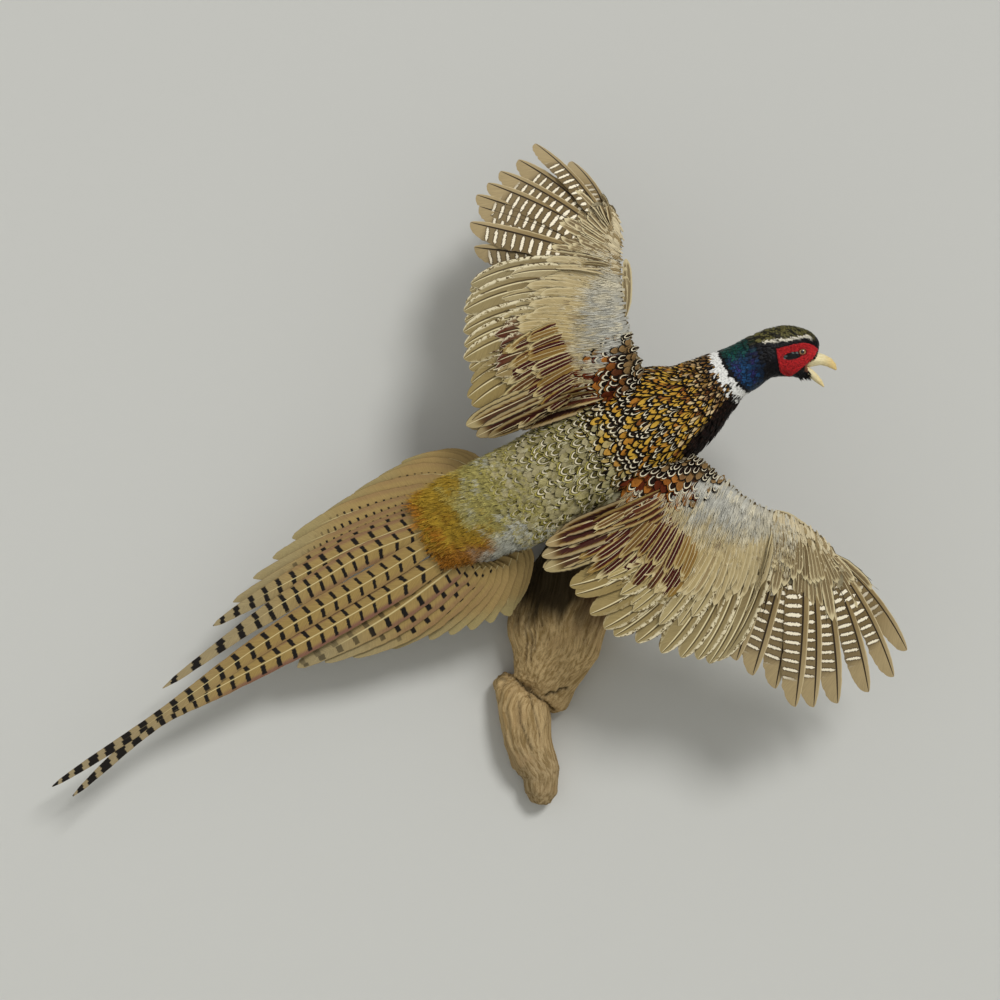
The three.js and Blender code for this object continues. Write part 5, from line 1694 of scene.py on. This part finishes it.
def makeLegs():
    scales, claw = scaleMaterial(), hornMaterial("clawHorn", "4a4034", "6a5c48", -170, -130)
    for side, aside in (("left", 1), ("right", -1)):
        nodes = (f"leg_{side}", f"foot_{side}")
        piece = remeshed(mergedCopy(f"leg_skin_{side}", nodes, 0.2), legPlan["voxel"])
        relaxed(piece.data, 6)
        mesh = piece.data
        places, normals = placesOf(mesh), normalsOf(mesh)
        x, z = places[:, 0] / mm, places[:, 2] / mm
        shank = smooth(-x, 38, 48)
        rings = np.abs(np.sin((x * 0.9 + z * 0.42) * 1.25))
        setPlaces(mesh, places + normals * ((0.35 * shank * rings - 0.25 * shank) * mm)[:, None])
        mesh.materials.append(scales)
        keepPiece(piece, "leg_scales", *nodes)

        bm = bmesh.new()
        for reach, drop, splay in legPlan["toes"]:
            dx = reach * math.cos(splay)
            dz = 0.9 * reach * math.sin(splay) - 0.45 * abs(reach)
            start = len(bm.verts)
            bmesh.ops.create_cone(bm, cap_ends=True, segments=12, radius1=1, radius2=0.06, depth=2)
            # only the sides of the new cone, which is 2 high, are this long
            long = [e for e in bm.edges if abs(e.verts[0].co.z - e.verts[1].co.z) > 1.9]
            bmesh.ops.subdivide_edges(bm, edges=long, cuts=6)
            bm.verts.ensure_lookup_table()
            heading = unit(np.array([dx, drop, dz]))
            level = unit(np.cross(heading, (0, 1, 0)))
            upright = np.cross(heading, level)
            for vert in bm.verts[start:]:
                t = (vert.co.z + 1) / 2
                share = 0.8 + 0.24 * t
                width = legPlan["clawWidth"] * (1 - t) ** 0.6 + 0.15
                size = math.hypot(vert.co.x, vert.co.y)
                c, s = (vert.co.x / size, vert.co.y / size) if size > 1e-6 else (0.0, 0.0)
                base = np.array([legPlan["toeRoot"][0] + legPlan["aside"][0] * aside + dx * share,
                                 -(legPlan["toeRoot"][1] - drop * share - 1.2 - 7 * t * t),
                                 legPlan["toeRoot"][2] + legPlan["aside"][1] * aside + dz * share])
                vert.co = Vector((base + (level * c + upright * s) * width * min(1, size * 20)) * mm)
        bmesh.ops.recalc_face_normals(bm, faces=bm.faces)
        mesh = smoothed(meshOf(bm, f"claws_{side}"))
        mesh.materials.append(claw)
        keepPiece(addPiece(f"claws_{side}", mesh), "leg_scales")

        surface = tubeSurface(legPlan["stations"], aside)
        at, turn = scatter(surface, (0.0, 2.75), (0, 2 * math.pi), 4.6 * mm, 4.4 * mm)
        length = table(((0, 20), (2, 16), (3, 11)), at) * mm
        path, normal = overSurface(surface, at, turn, 1.0, 0.0, length, 1.5 * mm, 1.2 * mm)
        dice = chance.random(len(at))
        tone = mixed(hue("54432c"), hue("2a2018"), dice)
        layFeathers(f"thigh_tufts_{side}", "tuft", path, normal, np.full((len(at), 2), 4.6 * mm),
                    bodyBake(at, turn, (0, 3)), patches["tuft"], "hair", "leg_scales",
                    chance.normal(0, 0.15, len(at)), tone, tone * 0.5, (0, 0, 0))


makeLegs()
print("legs and feet are in place")


# driftwood and steel
woodCare = {
    "heart": ((-158, -8), (-147, -6), (-128, -6), (-111, -16), (-94, -22), (-75, -24), (-58, -27),
              (-40, -20), (-20, -4), (6, 9), (40, 17), (74, 27), (108, 37), (132, 41)),
    "voxel": 2.0, "bridge": 0.45, "squared": 7.0, "knot": (-44, -26),
    "cracks": (((-34, -28), (-24, -36), (-16.1, -41.5), (-9, -48), (-2.8, -51.4), (6.5, -59.3)),
               ((-2.8, -44.9), (2, -41), (8.2, -41.5), (12, -37), (19.5, -36.4))),
    "grooves": (((-6, 60), (-9, 30), (-14, 2)), ((-12, 60), (-14, 30), (-19, -8)),
                ((-17, 50), (-19, 22), (-23, -8)), ((-1, 62), (-3, 28)),
                ((-20, -40), (-16, -60), (-8, -88)), ((-30, -50), (-29, -72), (-17, -100))),
}


def toLine(x, z, corners):
    # how far places lie from a line through corners
    best = np.full(len(x), 1e9)
    for (ax, az), (bx, bz) in zip(corners, corners[1:]):
        dx, dz = bx - ax, bz - az
        t = np.clip(((x - ax) * dx + (z - az) * dz) / (dx * dx + dz * dz), 0, 1)
        best = np.minimum(best, np.hypot(x - ax - t * dx, z - az - t * dz))
    return best


def woodMaterial():
    made, tree = newMaterial("driftwood")
    grainAt = attribute(tree, "grain", "Vector")
    fine = speckle(tree, grainAt, 0.35, 3.0, 0.6)
    threads = speckle(tree, grainAt, 1.1, 2.0, 0.5)
    broad = speckle(tree, objectPlace(tree), 30.0, 3.0)
    color = tinted(tree, rise(tree, fine, 0.34, 0.64), paint("92794f"), paint("bfa578"))
    color = tinted(tree, rise(tree, broad, 0.5, 0.72), color, paint("b2966a"))
    color = tinted(tree, times(tree, rise(tree, threads, 0.38, 0.28), 0.6), color, paint("57422a"))
    place = axes(tree, objectPlace(tree))
    # painted light: the wood is lightened towards the top, against the shade that the wings cast on the stump
    color = tinted(tree, times(tree, rise(tree, place[2], -0.06, 0.0), 0.5), color,
                   tinted(tree, 1.0, color, (1.5, 1.5, 1.5, 1.0), "MULTIPLY"))
    # darker and cooler towards the bottom
    color = tinted(tree, rise(tree, place[2], -0.05, -0.14), color,
                   tinted(tree, 1.0, color, (0.76, 0.78, 0.84, 1.0), "MULTIPLY"))
    color = streaked(tree, color, speckle(tree, objectPlace(tree), 900.0, 3.0), 0.88, 1.1)
    # painted shade from the shade layer: near black, reddish brown towards the right
    shade = attribute(tree, "shade")
    dark = tinted(tree, rise(tree, place[0], 0.02, 0.05), paint("0b0806"), paint("432a18"))
    color = tinted(tree, shade, color, dark)
    finishWith(tree, color, 0.85, plus(tree, fine, threads), 0.6, **{"Specular IOR Level": 0.05})
    return made


def makeWood():
    piece = remeshed(mergedCopy("driftwood_worn", ("driftwood_stump", "driftwood_limb"), woodCare["bridge"]),
                     woodCare["voxel"])
    relaxed(piece.data, 8)
    mesh = piece.data
    places, normals = placesOf(mesh), normalsOf(mesh)
    x, off, z = places[:, 0] / mm, -places[:, 1] / mm, places[:, 2] / mm
    heart = table(woodCare["heart"], z)
    left = smooth(heart - x, 4, 26) * smooth(z, 0, 42)
    places[:, 0] -= woodCare["squared"] * left * mm
    lumps = np.array([noise.noise(Vector(p) * 28) for p in places])
    away = x - heart + 5 * lumps
    along = np.stack([away, off, z * 0.022 + 3], -1)
    ridges = np.array([noise.noise(Vector(p) * 0.14) + 0.5 * noise.noise(Vector(p) * 0.33) for p in along])
    front = smooth(-normals[:, 1], 0.0, 0.5)
    cuts = np.minimum.reduce([toLine(x, z, line) for line in woodCare["cracks"]])
    slits = np.minimum.reduce([toLine(x + 1.2 * ridges, z, line) for line in woodCare["grooves"]])
    crack, slit = np.exp(-(cuts / 1.2) ** 2) * front, np.exp(-(slits / 0.9) ** 2) * front
    knot = smooth(12 - np.hypot(x - woodCare["knot"][0], z - woodCare["knot"][1]), 0, 8)
    rough = np.array([noise.noise(Vector(p) * 330) for p in places])
    move = 1.7 * (0.35 - np.abs(ridges)) * 2 + 3.0 * lumps - 2.0 * crack - 1.6 * slit + 2.2 * knot * rough
    held = smooth(off, 1.0, 9.0)
    places = places + normals * (move * held * mm)[:, None]
    places[:, 1] = np.minimum(places[:, 1], 0)
    setPlaces(mesh, places)
    # the shade layer is painted shade, and partly charred wood: the top of the stump under the bird's body is
    # painted near black
    shade = smooth(z + 16 * lumps + 15 * ridges + 0.12 * x, 16, 60) * 0.93
    # painted shade in the recesses: the cracks and grooves are painted dark inside
    shade = np.maximum(shade, np.maximum(0.92 * crack, 0.6 * slit))
    # the knot's raised bits are darker in the wood's own colour
    shade = np.maximum(shade, 0.6 * knot * smooth(rough, -0.1, 0.4))
    setLayer(mesh, "shade", "FLOAT", shade)
    setLayer(mesh, "grain", "FLOAT_VECTOR", along)
    mesh.materials.append(woodMaterial())
    keepPiece(piece, "driftwood", "driftwood_stump", "driftwood_limb")
    print(f"  driftwood: {len(mesh.polygons)} faces")


def steelMaterial():
    made, tree = newMaterial("brushedSteel")
    grain = speckle(tree, objectPlace(tree, (1, 1, 12)), 500.0, 3.0)
    color = streaked(tree, paint("8b8d8e"), grain, 0.75, 1.15)
    finishWith(tree, color, 0.35, grain, 0.15, 0.0003, Metallic=1.0)
    return made


makeWood()
steel = steelMaterial()
for node in ("support_rod", "hanger_plate"):
    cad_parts[node].material_slots[0].material = steel
print("driftwood and steel are finished")
